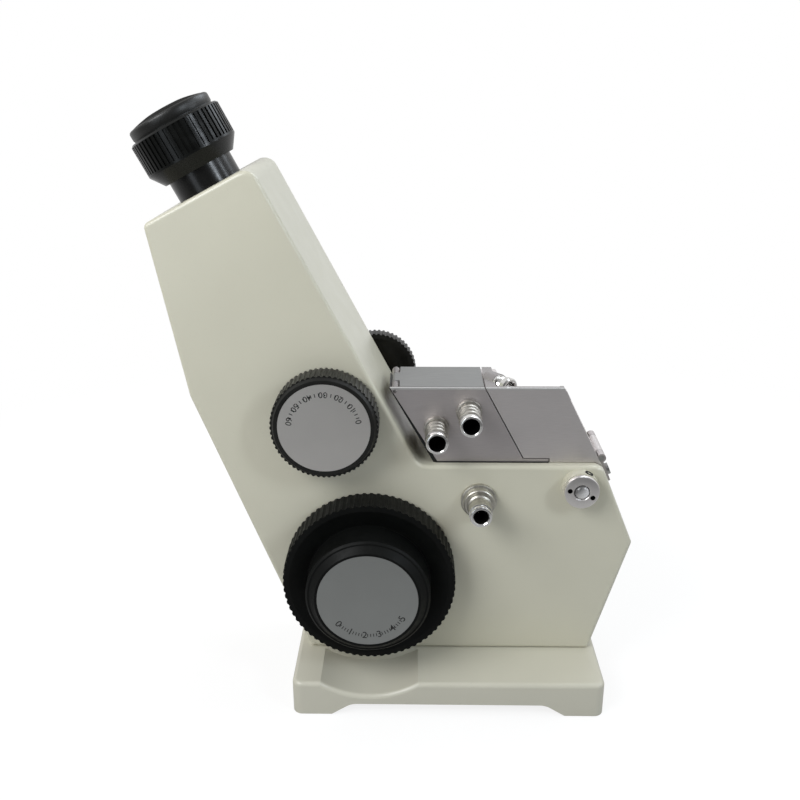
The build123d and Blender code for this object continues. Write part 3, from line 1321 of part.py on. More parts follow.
def lock_arm():
    """Slotted arm of the lid that the lock wheel clamps against the fixed seat."""
    away = (STUD_Z - HINGE_Z, HINGE_X - STUD_X)
    length = hypot(*away)
    slot = (-away[0] / length, -away[1] / length)
    reach = LOCK_SLOT + ARM_BORDER
    y0, y1 = LOCK_ARM
    top = LID_FAR_CHEEK_TOP
    arm = slab(
        [
            (STUD_X - reach, STUD_Z - reach),
            (STUD_X - reach, top),
            (film_x(top) + LID_WALL + ARM_BORDER, top),
            (film_x(top) + LID_WALL + ARM_BORDER, STUD_Z - reach),
        ],
        y0,
        y1,
    )
    pad_x = film_x(STUD_Z - reach) + FILM_SHIFT
    arm += slab(
        [
            (pad_x, STUD_Z - reach),
            (pad_x, top),
            (pad_x + ARM_PAD, top),
            (pad_x + ARM_PAD, STUD_Z - reach),
        ],
        SEAT_NEAR - 0.5,
        y1,
    )
    arm -= rod(STUD_X, STUD_Z, y0 - 1, y1 + 1, LOCK_SLOT)
    side = (slot[1] * LOCK_SLOT, -slot[0] * LOCK_SLOT)
    far = (STUD_X + slot[0] * SLOT_REACH, STUD_Z + slot[1] * SLOT_REACH)
    cut = [
        (STUD_X + side[0], STUD_Z + side[1]),
        (far[0] + side[0] * 1.5, far[1] + side[1]),
        (far[0] - side[0] * 1.5, far[1] - side[1]),
        (STUD_X - side[0], STUD_Z - side[1]),
    ]
    return arm - slab(cut, y0 - 1, y1 + 1)


def lid():
    """Light-entry prism seat: film wall, two cheeks, floor, shade frame and hinge knuckle."""
    part = slab(lid_wall(SEAT_TOP), -SEAT_NEAR, SEAT_STEP_Y)
    part += slab(lid_wall(LID_FAR_TOP), SEAT_STEP_Y - 1, SEAT_NEAR)
    part += slab(lid_cheek(SEAT_TOP), -SEAT_NEAR, LID_CHEEK - SEAT_NEAR)
    part += slab(lid_cheek(LID_FAR_CHEEK_TOP), SEAT_NEAR - LID_CHEEK, SEAT_NEAR)
    floor = [
        (film_x(LID_STEP_LOW) + FILM_SHIFT, LID_STEP_LOW),
        (film_x(LID_FLOOR_TOP) + FILM_SHIFT, LID_FLOOR_TOP),
        (shade_x(LID_FLOOR_TOP) - LID_CHEEK_END, LID_FLOOR_TOP),
        (shade_x(LID_LOW) - LID_CHEEK_END, LID_LOW),
        (LID_STEP_X, LID_LOW),
        (LID_STEP_X, LID_STEP_LOW),
    ]
    part += slab(floor, -SEAT_NEAR, SEAT_NEAR)
    bar_top = LID_LOW + SHADE_BAR
    part += shade_strip(bar_top, LID_LOW, -SEAT_NEAR, SEAT_NEAR, SHADE_THICKNESS)
    part += shade_strip(SEAT_TOP, SHADE_LOW, -SEAT_NEAR, SHADE_UPRIGHT - SEAT_NEAR, SHADE_THICKNESS)
    part += shade_strip(
        LID_FAR_CHEEK_TOP, LID_LOW, SEAT_NEAR - SHADE_UPRIGHT, SEAT_NEAR, SHADE_THICKNESS
    )
    part += rod(HINGE_X, HINGE_Z, -HINGE_LID_HALF, HINGE_LID_HALF, HINGE_KNUCKLE)
    part += shade_strip(
        LID_LOW + 1, HINGE_Z - 0.6, -HINGE_LID_HALF, HINGE_LID_HALF, SHADE_THICKNESS * 0.6
    )
    part += lock_arm()
    for place in map(lid_nipple_place, *zip(*LID_NIPPLES)):
        boss = Pos(0, 0, -LID_BOSS) * Cylinder(NIPPLE_RADIUS + 0.2, LID_BOSS, align=BASE)
        outside = [
            on_film(-LID_BOSS, FILM_GAP),
            on_film(-LID_BOSS, SEAT_HEIGHT),
            on_film(SEAT_HEIGHT / FILM_COS, SEAT_HEIGHT),
            on_film(SEAT_HEIGHT / FILM_COS, FILM_GAP),
        ]
        keep = slab(outside, 1 - SEAT_NEAR, SEAT_NEAR - 1)
        part += (place * boss) & keep
    half = LID_PRISM_WIDTH / 2 + SEATED
    part -= slab(lid_prism_outline(SEATED), -half, half)
    part -= rod(HINGE_X, HINGE_Z, -HINGE_LID_HALF - 1, HINGE_LID_HALF + 1, HINGE_PIN + RUNNING)
    depth = LID_NIPPLE_SPIGOT
    for place in map(lid_nipple_place, *zip(*LID_NIPPLES)):
        part -= place * Pos(0, 0, -depth) * Cylinder(NIPPLE_SPIGOT + SEATED, depth + 1, align=BASE)
        part -= place * Cylinder(NIPPLE_RADIUS + LOOSE, LID_NIPPLE_LENGTH, align=BASE)
    return part


def lid_prism():
    half = LID_PRISM_WIDTH / 2
    return slab(lid_prism_outline(0), -half, half)


def lid_nipples():
    nipple = hose_nipple(LID_NIPPLE_LENGTH, LID_NIPPLE_SPIGOT, 1)
    return Compound([lid_nipple_place(*nipple_place) * nipple for nipple_place in LID_NIPPLES])


def bracket_place():
    """On the front slope of the housing, local X along +Y, local Y up the slope, Z outwards."""
    dx, dz = FRONT_KINK[0] - SHELF_END[0], FRONT_KINK[1] - SHELF_END[1]
    length = hypot(dx, dz)
    share = (SHELF_END[1] - HINGE_Z) / (SHELF_END[1] - FRONT_KINK[1])
    origin = (SHELF_END[0] + share * dx, 0, HINGE_Z)
    return Plane(origin=origin, x_dir=(0, 1, 0), z_dir=(-dz / length, 0, dx / length))


def hinge_bracket():
    leaf = Pos(0, -HINGE_LEAF_LENGTH, 0) * Box(
        2 * HINGE_HALF, HINGE_LEAF_LENGTH, HINGE_LEAF, align=(Align.CENTER, Align.MIN, Align.MIN)
    )
    part = bracket_place() * leaf
    for y0, y1 in ((-HINGE_HALF, -HINGE_LID_HALF - LOOSE), (HINGE_LID_HALF + LOOSE, HINGE_HALF)):
        part += rod(HINGE_X, HINGE_Z, y0, y1, HINGE_KNUCKLE)
    gap = HINGE_LID_HALF + LOOSE
    part -= rod(HINGE_X, HINGE_Z, -gap, gap, HINGE_KNUCKLE + LOOSE)
    part -= rod(HINGE_X, HINGE_Z, -HINGE_HALF - 1, HINGE_HALF + 1, HINGE_PIN + SEATED)
    for y in HINGE_SCREW_Y:
        part -= bracket_place() * Pos(y, -HINGE_SCREW_DROP, -1) * Cylinder(
            HINGE_SCREW_RADIUS + LOOSE, HINGE_LEAF * 3, align=BASE
        )
    return part


def hinge_screws():
    screw = Cylinder(HINGE_SCREW_RADIUS, HINGE_LEAF + 3.0, align=BASE)
    head = Pos(0, 0, HINGE_LEAF + 3.0) * Cylinder(HINGE_SCREW_RADIUS * 2, 1.3, align=BASE)
    slot = Pos(0, 0, HINGE_LEAF + 4.3) * Box(HINGE_SCREW_RADIUS * 5, 0.6, 1.2)
    screw = Pos(0, 0, -3.0) * (screw + head - slot)
    return Compound([bracket_place() * Pos(y, -HINGE_SCREW_DROP, 0) * screw for y in HINGE_SCREW_Y])


def hinge_pin():
    return rod(HINGE_X, HINGE_Z, -HINGE_HALF, HINGE_HALF, HINGE_PIN)


def lock_wheel():
    depth = LOCK_DEPTH
    body = scalloped(LOCK_RADIUS, SCALLOP_DEPTH, LOCK_SCALLOP_COUNT, depth - 1.0)
    body += Pos(0, 0, depth - 1.0) * Cone(LOCK_RADIUS - 0.6, LOCK_RADIUS - 1.6, 1.0, align=BASE)
    body -= Cylinder(STUD_RADIUS + RUNNING, depth - 0.8, align=BASE)
    return facing_far(STUD_X, STUD_Z, LOCK_BACK, body)


# ------------------------------------------------------------------ thermometer seat, scale condenser
THERMO_FLANGE = 7.6
THERMO_COLLAR = 6.6
THERMO_NECK = 5.1
THERMO_BARREL = 4.75
THERMO_TAIL = 4.5
def thermometer_seat():
    length = THERMO_LENGTH
    inside = -WALL - 0.6
    profile = [
        (THERMO_BORE, inside),
        (THERMO_SPIGOT, inside),
        (THERMO_SPIGOT, 0),
        (THERMO_FLANGE, 0),
        (THERMO_FLANGE, 1.4),
        (THERMO_FLANGE - 0.4, 1.8),
        (THERMO_COLLAR, 1.8),
        (THERMO_COLLAR, 4.2),
        (THERMO_COLLAR - 0.4, 4.6),
        (THERMO_NECK, 4.6),
        (THERMO_NECK, 6.4),
        (THERMO_NECK - 0.5, 6.6),
        (THERMO_NECK - 0.5, 7.2),
        (THERMO_BARREL, 7.4),
        (THERMO_BARREL, length - 2.4),
        (THERMO_TAIL - 0.4, length - 2.2),
        (THERMO_TAIL - 0.4, length - 1.8),
        (THERMO_TAIL, length - 1.6),
        (THERMO_TAIL, length - 0.4),
        (THERMO_TAIL - 0.4, length),
        (THERMO_BORE + 0.4, length),
        (THERMO_BORE, length - 0.4),
    ]
    return facing(THERMO_X, THERMO_Z, -HALF, turned(profile))


CONDENSER_BORE = 3.1
CONDENSER_HOLES = 4.9
CONDENSER_HOLE_RADIUS = 0.65
CONDENSER_HOLE_DEPTH = 1.2
CONDENSER_LENS_EDGE = 2.4
CONDENSER_LENS_BULGE = 1.9


def condenser_mount():
    profile = [
        (CONDENSER_BORE, -CONDENSER_BOSS - WALL),
        (LIGHT_HOLE_RADIUS - RUNNING, -CONDENSER_BOSS - WALL),
        (LIGHT_HOLE_RADIUS - RUNNING, SEATED),
        (CONDENSER_RADIUS, SEATED),
        (CONDENSER_RADIUS, CONDENSER_PLATE - 0.4),
        (CONDENSER_RADIUS - 0.4, CONDENSER_PLATE),
        (CONDENSER_BORE, CONDENSER_PLATE),
    ]
    mount = turned(profile)
    for turn in (170, 325):
        x, y = CONDENSER_HOLES * cos(radians(turn)), CONDENSER_HOLES * sin(radians(turn))
        hole = Cylinder(CONDENSER_HOLE_RADIUS, CONDENSER_PLATE, align=BASE)
        mount -= Pos(x, y, CONDENSER_PLATE - CONDENSER_HOLE_DEPTH) * hole
    return facing(CONDENSER_X, CONDENSER_Z, -HALF - CONDENSER_BOSS, mount)


def condenser_lens():
    glass = lens(CONDENSER_BORE - SEATED, CONDENSER_LENS_EDGE, CONDENSER_LENS_BULGE)
    start = HALF + CONDENSER_BOSS + CONDENSER_PLATE - CONDENSER_LENS_EDGE
    return facing(CONDENSER_X, CONDENSER_Z, -start, glass)


# ------------------------------------------------------------------ all nodes
NODES = [
    base_casting,
    base_screws,
    housing_casting,
    side_cover,
    cover_screws,
    wheel_bush,
    dispersion_bush,
    dial_bush,
    calibration_screw,
    eyepiece_tube,
    telescope_tube,
    objective_cell,
    objective_lens,
    reticle,
    eyepiece_barrel,
    field_lens,
    eye_lens,
    focus_ring,
    eye_cap,
    compensator_frame,
    amici_mount_upper,
    amici_mount_lower,
    amici_prism_upper,
    amici_prism_lower,
    dispersion_shaft,
    dispersion_knob,
    dispersion_disc,
    dial_drive_shaft,
    dial_shaft,
    dial_knob,
    adjust_shaft,
    adjust_wheel,
    adjust_disc,
    mirror_shaft,
    sector,
    swing_mirror,
    scale_glass,
    prism_seat,
    seat_screws,
    refracting_prism,
    seat_nipples,
    window_glass,
    mirror_flap,
    flap_mirror,
    flap_pin,
    lock_stud,
    lock_wheel,
    lid,
    lid_prism,
    lid_nipples,
    hinge_bracket,
    hinge_screws,
    hinge_pin,
    thermometer_seat,
    condenser_mount,
    condenser_lens,
]


def main():
    os.makedirs("parts", exist_ok=True)
    for make in NODES:
        export_step(make(), f"parts/{make.__name__}.step")


if __name__ == "__main__":
    main()
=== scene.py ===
"""Bench refractometer: finishes, eye cup, spouts, lamp window, painted gap shadow, dial marks and studio.
"""

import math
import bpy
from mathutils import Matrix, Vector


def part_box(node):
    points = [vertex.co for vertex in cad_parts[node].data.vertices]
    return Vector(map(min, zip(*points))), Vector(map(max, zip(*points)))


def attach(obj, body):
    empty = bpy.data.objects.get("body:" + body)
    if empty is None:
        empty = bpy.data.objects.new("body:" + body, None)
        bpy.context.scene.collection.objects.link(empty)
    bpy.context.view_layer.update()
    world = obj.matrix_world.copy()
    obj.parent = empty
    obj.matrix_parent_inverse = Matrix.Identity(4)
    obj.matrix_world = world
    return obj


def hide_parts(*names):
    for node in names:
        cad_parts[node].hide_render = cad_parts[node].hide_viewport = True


bl_info = {
    "name": "Bench refractometer",
    "version": (1, 0, 0),
    "blender": (4, 5, 0),
    "location": "View3D > Sidebar > Refractometer",
    "description": "Finishes, small fittings and studio for a bench refractometer",
    "category": "Object",
}

from collections import namedtuple

import bpy
from mathutils import Matrix, Vector

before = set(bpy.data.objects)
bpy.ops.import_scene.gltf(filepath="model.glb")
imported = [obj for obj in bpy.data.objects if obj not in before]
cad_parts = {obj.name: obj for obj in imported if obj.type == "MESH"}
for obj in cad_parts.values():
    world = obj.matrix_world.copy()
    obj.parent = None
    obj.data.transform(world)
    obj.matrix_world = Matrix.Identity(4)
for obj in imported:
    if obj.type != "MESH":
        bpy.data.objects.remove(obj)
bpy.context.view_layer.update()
MM = 0.001

# The telescope line leaves the housing along its tilt through CROSSING.
CROSSING = Vector((-48.4, 0.0, 120.6)) * MM
TELESCOPE_TILT = math.radians(27.5)
ON_TELESCOPE = Matrix.Translation(CROSSING) @ Matrix.Rotation(-TELESCOPE_TILT, 4, "Y")

SEAT_LOW, SEAT_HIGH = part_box("prism_seat")
SEAT_LEFT_TILT = math.radians(31.2)

WHITE = (1.0, 1.0, 1.0, 1.0)
BLACK = (0.0, 0.0, 0.0, 1.0)

# The Mix node has one pair of sockets for each kind of value.
MIX_VALUE_A = 2
MIX_VALUE_B = 3
MIX_VALUE_RESULT = 0
MIX_COLOUR_A = 6
MIX_COLOUR_B = 7
MIX_COLOUR_RESULT = 2

NOISE_ROUGHNESS = 0.55

# Vertices closer than MERGE become one. HAIR is the slack where faces are picked by radius.
MERGE = 0.001 * MM
HAIR = 0.05 * MM


# ------------------------------------------------------------------ places
def near_middle(node):
    """Middle of the near side of a CAD node's box."""
    low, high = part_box(node)
    return Vector(((low.x + high.x) / 2, low.y, (low.z + high.z) / 2))


def facing_near(place):
    """Turn what stands on Z to face the near side: X stays X, and Y becomes Z."""
    return Matrix.Translation(place) @ Matrix.Rotation(math.radians(90), 4, "X")


# ------------------------------------------------------------------ modelling by hand
def select_only(*pieces):
    """Leave edit mode and select these pieces alone, with the first one active."""
    if bpy.context.object and bpy.context.object.mode != "OBJECT":
        bpy.ops.object.mode_set(mode="OBJECT")
    bpy.ops.object.select_all(action="DESELECT")
    for piece in pieces:
        piece.select_set(True)
    if pieces:
        bpy.context.view_layer.objects.active = pieces[0]


def name_piece(name):
    """Name the active piece and its mesh."""
    piece = bpy.context.object
    piece.name = name
    piece.data.name = name
    return piece


def settle(piece, place):
    """Bake a placement into the mesh, so that the object stays at the origin."""
    select_only(piece)
    piece.matrix_world = place @ piece.matrix_world
    bpy.context.view_layer.update()
    bpy.ops.object.transform_apply(location=True, rotation=True, scale=True)
    return piece


def smooth(piece, degrees=32):
    """Shade smooth across edges flatter than the angle."""
    select_only(piece)
    bpy.ops.object.shade_smooth_by_angle(angle=math.radians(degrees))


def merge_and_face_out():
    """Merge the doubles of the mesh in edit mode and turn its faces outwards."""
    bpy.ops.mesh.select_all(action="SELECT")
    bpy.ops.mesh.remove_doubles(threshold=MERGE)
    bpy.ops.mesh.normals_make_consistent(inside=False)


def turned_ring(name, profile, steps):
    """Ring about Z whose section is the closed list of (radius, height) points in millimetres."""
    section = [(radius * MM, height * MM) for radius, height in profile]
    select_only()
    radius, height = section[0]
    bpy.ops.mesh.primitive_circle_add(vertices=steps, radius=radius, location=(0, 0, height))
    piece = name_piece(name)
    bpy.ops.object.transform_apply(location=True, rotation=True, scale=True)
    bpy.ops.object.mode_set(mode="EDIT")
    bpy.ops.mesh.select_mode(type="EDGE")
    bpy.ops.mesh.select_all(action="SELECT")
    for (r0, h0), (r1, h1) in zip(section, section[1:] + section[:1]):
        bpy.ops.mesh.extrude_region_move(TRANSFORM_OT_translate={"value": (0, 0, h1 - h0)})
        bpy.ops.transform.resize(value=(r1 / r0, r1 / r0, 1), center_override=(0, 0, h1))
    merge_and_face_out()
    bpy.ops.object.mode_set(mode="OBJECT")
    return piece


def close_tips(piece, radius):
    """Draw the rings that lie within the radius onto the axis, and close them there."""
    select_only(piece)
    for vertex in piece.data.vertices:
        if vertex.co.xy.length < radius:
            vertex.co.x = 0
            vertex.co.y = 0
    bpy.ops.object.mode_set(mode="EDIT")
    merge_and_face_out()
    bpy.ops.object.mode_set(mode="OBJECT")


def apply_modifier(piece, kind, **settings):
    select_only(piece)
    modifier = piece.modifiers.new(kind.title(), kind)
    for key, value in settings.items():
        setattr(modifier, key, value)
    bpy.ops.object.modifier_apply(modifier=modifier.name)


def copied(piece):
    """A copy of a piece, with its own mesh."""
    select_only(piece)
    bpy.ops.object.duplicate()
    return bpy.context.object


def discard(piece):
    select_only(piece)
    bpy.ops.object.delete()


def joined(name, pieces):
    select_only(*pieces)
    bpy.ops.object.join()
    return name_piece(name)


def drill(piece, cutters):
    """Cut the given solids out of a piece and throw them away."""
    for cutter in cutters:
        apply_modifier(piece, "BOOLEAN", object=cutter, operation="DIFFERENCE", solver="EXACT")
        discard(cutter)


def plug(sides, radius, depth, place):
    """Short bar with the given number of sides, along the Z axis of its place."""
    select_only()
    bpy.ops.mesh.primitive_cylinder_add(vertices=sides, radius=radius, depth=depth)
    return settle(bpy.context.object, place)


def block(size):
    """Plain block about the origin, which still has sharp edges."""
    select_only()
    bpy.ops.mesh.primitive_cube_add(size=1)
    bpy.context.object.scale = size
    bpy.ops.object.transform_apply(location=False, rotation=False, scale=True)
    return bpy.context.object


# ------------------------------------------------------------------ finishes
class Nodes:
    """A node tree, with short ways to add and feed its nodes."""

    def __init__(self, tree):
        self.tree = tree

    def node(self, kind, **inputs):
        """Add a node and feed its inputs, named with _ for each space."""
        made = self.tree.nodes.new(kind)
        for key, value in inputs.items():
            self.feed(made.inputs[key.replace("_", " ")], value)
        return made

    def feed(self, socket, value):
        """Link a socket to another one's output, or set its value."""
        if isinstance(value, bpy.types.NodeSocket):
            self.tree.links.new(value, socket)
        else:
            socket.default_value = value

    def coordinates(self, kind):
        return self.node("ShaderNodeTexCoord").outputs[kind]

    def axis(self, place, letter):
        """One coordinate of a place."""
        return self.node("ShaderNodeSeparateXYZ", Vector=place).outputs[letter]

    def length(self, place):
        made = self.node("ShaderNodeVectorMath", Vector=place)
        made.operation = "LENGTH"
        return made.outputs["Value"]

    def between(self, factor, low, high, start=0.3, end=0.7, curve="LINEAR"):
        """Go from low to high while the factor goes from start to end."""
        made = self.node(
            "ShaderNodeMapRange", Value=factor, From_Min=start, From_Max=end, To_Min=low, To_Max=high
        )
        made.interpolation_type = curve
        return made.outputs["Result"]

    def maths(self, operation, first, second):
        made = self.node("ShaderNodeMath")
        made.operation = operation
        self.feed(made.inputs[0], first)
        self.feed(made.inputs[1], second)
        return made.outputs["Value"]

    def choose(self, factor, first, second):
        """The first value at 0 and the second at 1."""
        made = self.node("ShaderNodeMix", Factor=factor)
        self.feed(made.inputs[MIX_VALUE_A], first)
        self.feed(made.inputs[MIX_VALUE_B], second)
        return made.outputs[MIX_VALUE_RESULT]

    def blend(self, factor, first, second):
        """The first colour at 0 and the second at 1."""
        made = self.node("ShaderNodeMix", Factor=factor)
        made.data_type = "RGBA"
        self.feed(made.inputs[MIX_COLOUR_A], first)
        self.feed(made.inputs[MIX_COLOUR_B], second)
        return made.outputs[MIX_COLOUR_RESULT]

    def surface(self, output, factor, first, second):
        """Send the output the first shader at 0 and the second at 1."""
        made = self.node("ShaderNodeMixShader", Fac=factor)
        self.feed(made.inputs[1], first)
        self.feed(made.inputs[2], second)
        self.feed(self.tree.nodes[output].inputs["Surface"], made.outputs["Shader"])


class Finish(Nodes):
    """A Principled material whose tone, gloss and grain come from noise on the piece."""

    def __init__(self, name, **sockets):
        self.material = bpy.data.materials.new(name)
        self.material.use_nodes = True
        super().__init__(self.material.node_tree)
        self.shader = self.tree.nodes["Principled BSDF"]
        for socket, value in sockets.items():
            self.shader.inputs[socket.replace("_", " ")].default_value = value
        self.place = self.coordinates("Object")
        self.relief = None

    def noise(self, size_mm, detail=3.0, stretch=(1, 1, 1)):
        """Noise with features of about size_mm, drawn out along an axis by stretch."""
        mapping = self.node("ShaderNodeMapping", Vector=self.place)
        mapping.inputs["Scale"].default_value = [1 / s for s in stretch]
        made = self.node(
            "ShaderNodeTexNoise",
            Vector=mapping.outputs["Vector"],
            Scale=1 / (size_mm * MM),
            Detail=detail,
            Roughness=NOISE_ROUGHNESS,
        )
        return made.outputs["Fac"]

    def shades(self, factor, colour, first, second):
        """The colour times the first number at 0, and times the second at 1."""
        return self.blend(factor, shade(colour, first), shade(colour, second))

    def tone(self, colour):
        self.feed(self.shader.inputs["Base Color"], colour)

    def gloss(self, value):
        self.feed(self.shader.inputs["Roughness"], value)

    def grain(self, height, depth_mm, strength):
        """Add relief of depth_mm to what the surface already has."""
        bump = self.node("ShaderNodeBump", Height=height, Distance=depth_mm * MM, Strength=strength)
        if self.relief is not None:
            self.feed(bump.inputs["Normal"], self.relief)
        self.relief = bump.outputs["Normal"]
        self.feed(self.shader.inputs["Normal"], self.relief)


def shade(colour, factor):
    return (colour[0] * factor, colour[1] * factor, colour[2] * factor, 1.0)


def sprayed_enamel(name, colour):
    """Oven enamel: slight mottle, orange peel, and a few specks of dust."""
    finish = Finish(name, Metallic=0.0, Specular_IOR_Level=0.5, Coat_Weight=0.3, Coat_Roughness=0.2)
    cloud = finish.between(finish.noise(38, detail=2.0), 0.0, 1.0)
    paint = finish.shades(cloud, colour, 0.965, 1.0)
    speck = finish.between(finish.noise(0.9, detail=1.0), 0.0, 0.16, 0.70, 0.78)
    finish.tone(finish.blend(speck, paint, shade(colour, 0.72)))
    finish.gloss(finish.between(finish.noise(9), 0.30, 0.40))
    finish.grain(finish.noise(1.6, detail=1.5), 0.035, 0.45)
    finish.grain(finish.noise(0.35, detail=2.0), 0.006, 0.5)
    return finish.material


def moulded_black(name, colour, gloss=0.46, grain_mm=0.35, specular=0.11):
    """Moulded resin: dark, faintly grained, with pale dust caught in places."""
    dust_grey = (0.030, 0.031, 0.028, 1)
    finish = Finish(name, Metallic=0.0, Specular_IOR_Level=specular)
    dust = finish.between(finish.noise(2.2, detail=4.0), 0.0, 0.15, 0.60, 0.85)
    base = finish.shades(finish.between(finish.noise(14), 0, 1), colour, 0.8, 1.2)
    finish.tone(finish.blend(dust, base, dust_grey))
    finish.gloss(finish.between(finish.noise(3.5), gloss - 0.05, gloss + 0.08))
    finish.grain(finish.noise(grain_mm, detail=2.0), 0.02, 0.5)
    return finish.material


def soft_rubber(name, colour, gloss=0.34, specular=0.5):
    """Dense rubber: satin, with a grey bloom in places."""
    bloom_grey = (0.026, 0.026, 0.023, 1)
    finish = Finish(name, Metallic=0.0, Specular_IOR_Level=specular)
    bloom = finish.between(finish.noise(6, detail=4.0), 0.0, 0.12, 0.50, 0.80)
    finish.tone(finish.blend(bloom, shade(colour, 0.9), bloom_grey))
    finish.gloss(finish.between(finish.noise(4), gloss, gloss + 0.1))
    finish.grain(finish.noise(0.25, detail=2.5), 0.015, 0.5)
    return finish.material


def black_anodised(name, colour):
    """Turned and dyed aluminium: a sharp satin black."""
    finish = Finish(name, Metallic=0.0, Specular_IOR_Level=0.42)
    finish.tone(finish.shades(finish.noise(3), colour, 0.7, 1.3))
    finish.gloss(finish.between(finish.noise(2.5), 0.20, 0.26))
    finish.grain(finish.noise(0.2, detail=2.0), 0.003, 0.4)
    return finish.material


def ground_alloy(name, colour, edge):
    """Ground alloy of the seats: long grinding lines, a painted highlight along the top near edge, and
    painted shade on the top face.
    """
    painted_edge_highlight = (0.80, 0.80, 0.78, 1)
    finish = Finish(name, Metallic=0.85)
    lines = finish.noise(0.35, detail=3.0, stretch=(14, 1, 1))
    tone = finish.shades(finish.noise(16, detail=3.0), colour, 0.92, 1.05)
    streak = finish.between(lines, 0.0, 0.30, 0.35, 0.75)
    metal = finish.blend(streak, tone, shade(colour, 0.80))
    height = finish.axis(finish.place, "Z")
    back = finish.maths("SUBTRACT", finish.axis(finish.place, "Y"), edge.y)
    down = finish.maths("SUBTRACT", edge.z, height)
    reach = finish.maths("ADD", finish.maths("POWER", back, 2.0), finish.maths("POWER", down, 2.0))
    # Painted shade: the top face is darkened halfway to black, easing in over the top half millimetre of
    # the sides.
    top = finish.between(height, 0.0, 0.5, edge.z - 0.5 * MM, edge.z - 0.2 * MM)
    metal = finish.blend(top, metal, BLACK)
    # Painted highlight: a pale line along the top near edge.
    edge_highlight_mask = finish.between(reach, 0.85, 0.0, (0.35 * MM) ** 2, (0.8 * MM) ** 2)
    finish.tone(finish.blend(edge_highlight_mask, metal, painted_edge_highlight))
    finish.gloss(finish.between(lines, 0.36, 0.48))
    finish.grain(lines, 0.005, 0.4)
    finish.grain(finish.noise(0.14, detail=1.0), 0.004, 0.5)
    return finish.material


def blasted_metal(name, colour, gloss):
    """Lightly blasted alloy with a fine even tooth."""
    finish = Finish(name, Metallic=1.0)
    tooth = finish.noise(0.35, detail=3.0)
    tone = finish.shades(finish.noise(16, detail=3.0), colour, 0.90, 1.06)
    finish.tone(finish.blend(finish.between(tooth, 0.0, 0.35, 0.35, 0.75), tone, shade(colour, 0.78)))
    finish.gloss(finish.between(tooth, gloss - 0.05, gloss + 0.08))
    finish.grain(tooth, 0.006, 0.45)
    return finish.material


def worn_plate(name, dull, bright, end_y):
    """Plated spout: a dull, grimy shank, with a brighter and glossier plate over its last few millimetres
    to the mouth at end_y.
    """
    finish = Finish(name, Metallic=0.92)
    grime = finish.between(finish.noise(1.8, detail=4.0), 0.0, 0.7, 0.40, 0.72)
    shank = finish.shades(grime, dull, 1.0, 0.55)
    along = finish.axis(finish.place, "Y")
    mouth = finish.between(along, 1.0, 0.0, end_y + 2.4 * MM, end_y + 3.1 * MM)
    finish.tone(finish.blend(mouth, shank, shade(bright, 1.0)))
    finish.gloss(finish.between(mouth, 0.38, 0.17, 0.0, 1.0))
    finish.grain(finish.noise(0.5, detail=3.0), 0.008, 0.5)
    return finish.material


def bright_plate(name, colour):
    """Plated metal: clean and bright, with slight smears that dull it in places."""
    finish = Finish(name, Metallic=1.0)
    smear = finish.between(finish.noise(2.4, detail=4.0), 0.0, 1.0, 0.40, 0.72)
    finish.tone(finish.shades(smear, colour, 1.0, 0.82))
    finish.gloss(finish.between(smear, 0.13, 0.27, 0.0, 1.0))
    finish.grain(finish.noise(0.6, detail=2.0), 0.006, 0.35)
    return finish.material


def machined_metal(name, colour, gloss=0.28):
    """Machined metal: tool marks and a little tarnish."""
    finish = Finish(name, Metallic=1.0)
    tarnish = finish.between(finish.noise(5, detail=4.0), 0.0, 0.5, 0.45, 0.75)
    finish.tone(finish.shades(tarnish, colour, 1.0, 0.66))
    finish.gloss(finish.between(tarnish, gloss, gloss + 0.16, 0.0, 0.5))
    finish.grain(finish.noise(0.2, detail=2.0), 0.006, 0.4)
    return finish.material


def painted_hole_shade(name):
    """Painted shade: the near-black walls of a narrow hole."""
    return machined_metal(name, (0.02, 0.02, 0.02), 0.5)


def spun_disc(name, colour, centre):
    """Satin plate with circular brushing about its own centre."""
    ring_width = 0.16 * MM
    finish = Finish(name, Metallic=1.0)
    middle = finish.node("ShaderNodeMapping", Vector=finish.place)
    middle.inputs["Location"].default_value = [-c for c in centre]
    flat = finish.node("ShaderNodeVectorMath", Vector=middle.outputs["Vector"])
    flat.operation = "MULTIPLY"
    flat.inputs[1].default_value = (1, 0, 1)
    reach = finish.length(flat.outputs["Vector"])
    rings = finish.node("ShaderNodeTexNoise", Scale=1.0, Detail=2.0)
    rings.noise_dimensions = "1D"
    finish.feed(rings.inputs["W"], finish.maths("MULTIPLY", reach, 1 / ring_width))
    brushing = rings.outputs["Fac"]
    cloud = finish.shades(finish.noise(12), colour, 0.94, 1.04)
    streak = finish.between(brushing, 0.0, 0.35, 0.35, 0.75)
    finish.tone(finish.blend(streak, cloud, shade(colour, 0.86)))
    finish.gloss(finish.between(brushing, 0.36, 0.44))
    finish.grain(brushing, 0.003, 0.4)
    return finish.material


def clear_glass(name, tint):
    """Polished optical glass with a trace of cleaning marks."""
    finish = Finish(name, Metallic=0.0, Transmission_Weight=1.0, IOR=1.52)
    finish.tone(finish.shades(finish.noise(6), tint, 1.0, 0.97))
    finish.gloss(finish.between(finish.noise(3, detail=4.0), 0.03, 0.07))
    finish.grain(finish.noise(4.0, detail=1.0), 0.0006, 0.3)
    return finish.material


def silvered(name):
    """Silvered glass with faint smears."""
    finish = Finish(name, Metallic=1.0)
    finish.tone(finish.blend(finish.noise(4), (0.86, 0.88, 0.89, 1), (0.8, 0.82, 0.83, 1)))
    finish.gloss(finish.between(finish.noise(2.5, detail=4.0), 0.03, 0.09))
    finish.grain(finish.noise(2.0), 0.0006, 0.3)
    return finish.material


def printing_ink(name, colour):
    """Matt printing ink, thin in places."""
    finish = Finish(name, Metallic=0.0)
    finish.tone(finish.shades(finish.noise(0.5, detail=3.0), colour, 0.8, 1.3))
    finish.gloss(finish.between(finish.noise(1.0), 0.45, 0.62))
    finish.grain(finish.noise(0.12), 0.004, 0.5)
    return finish.material


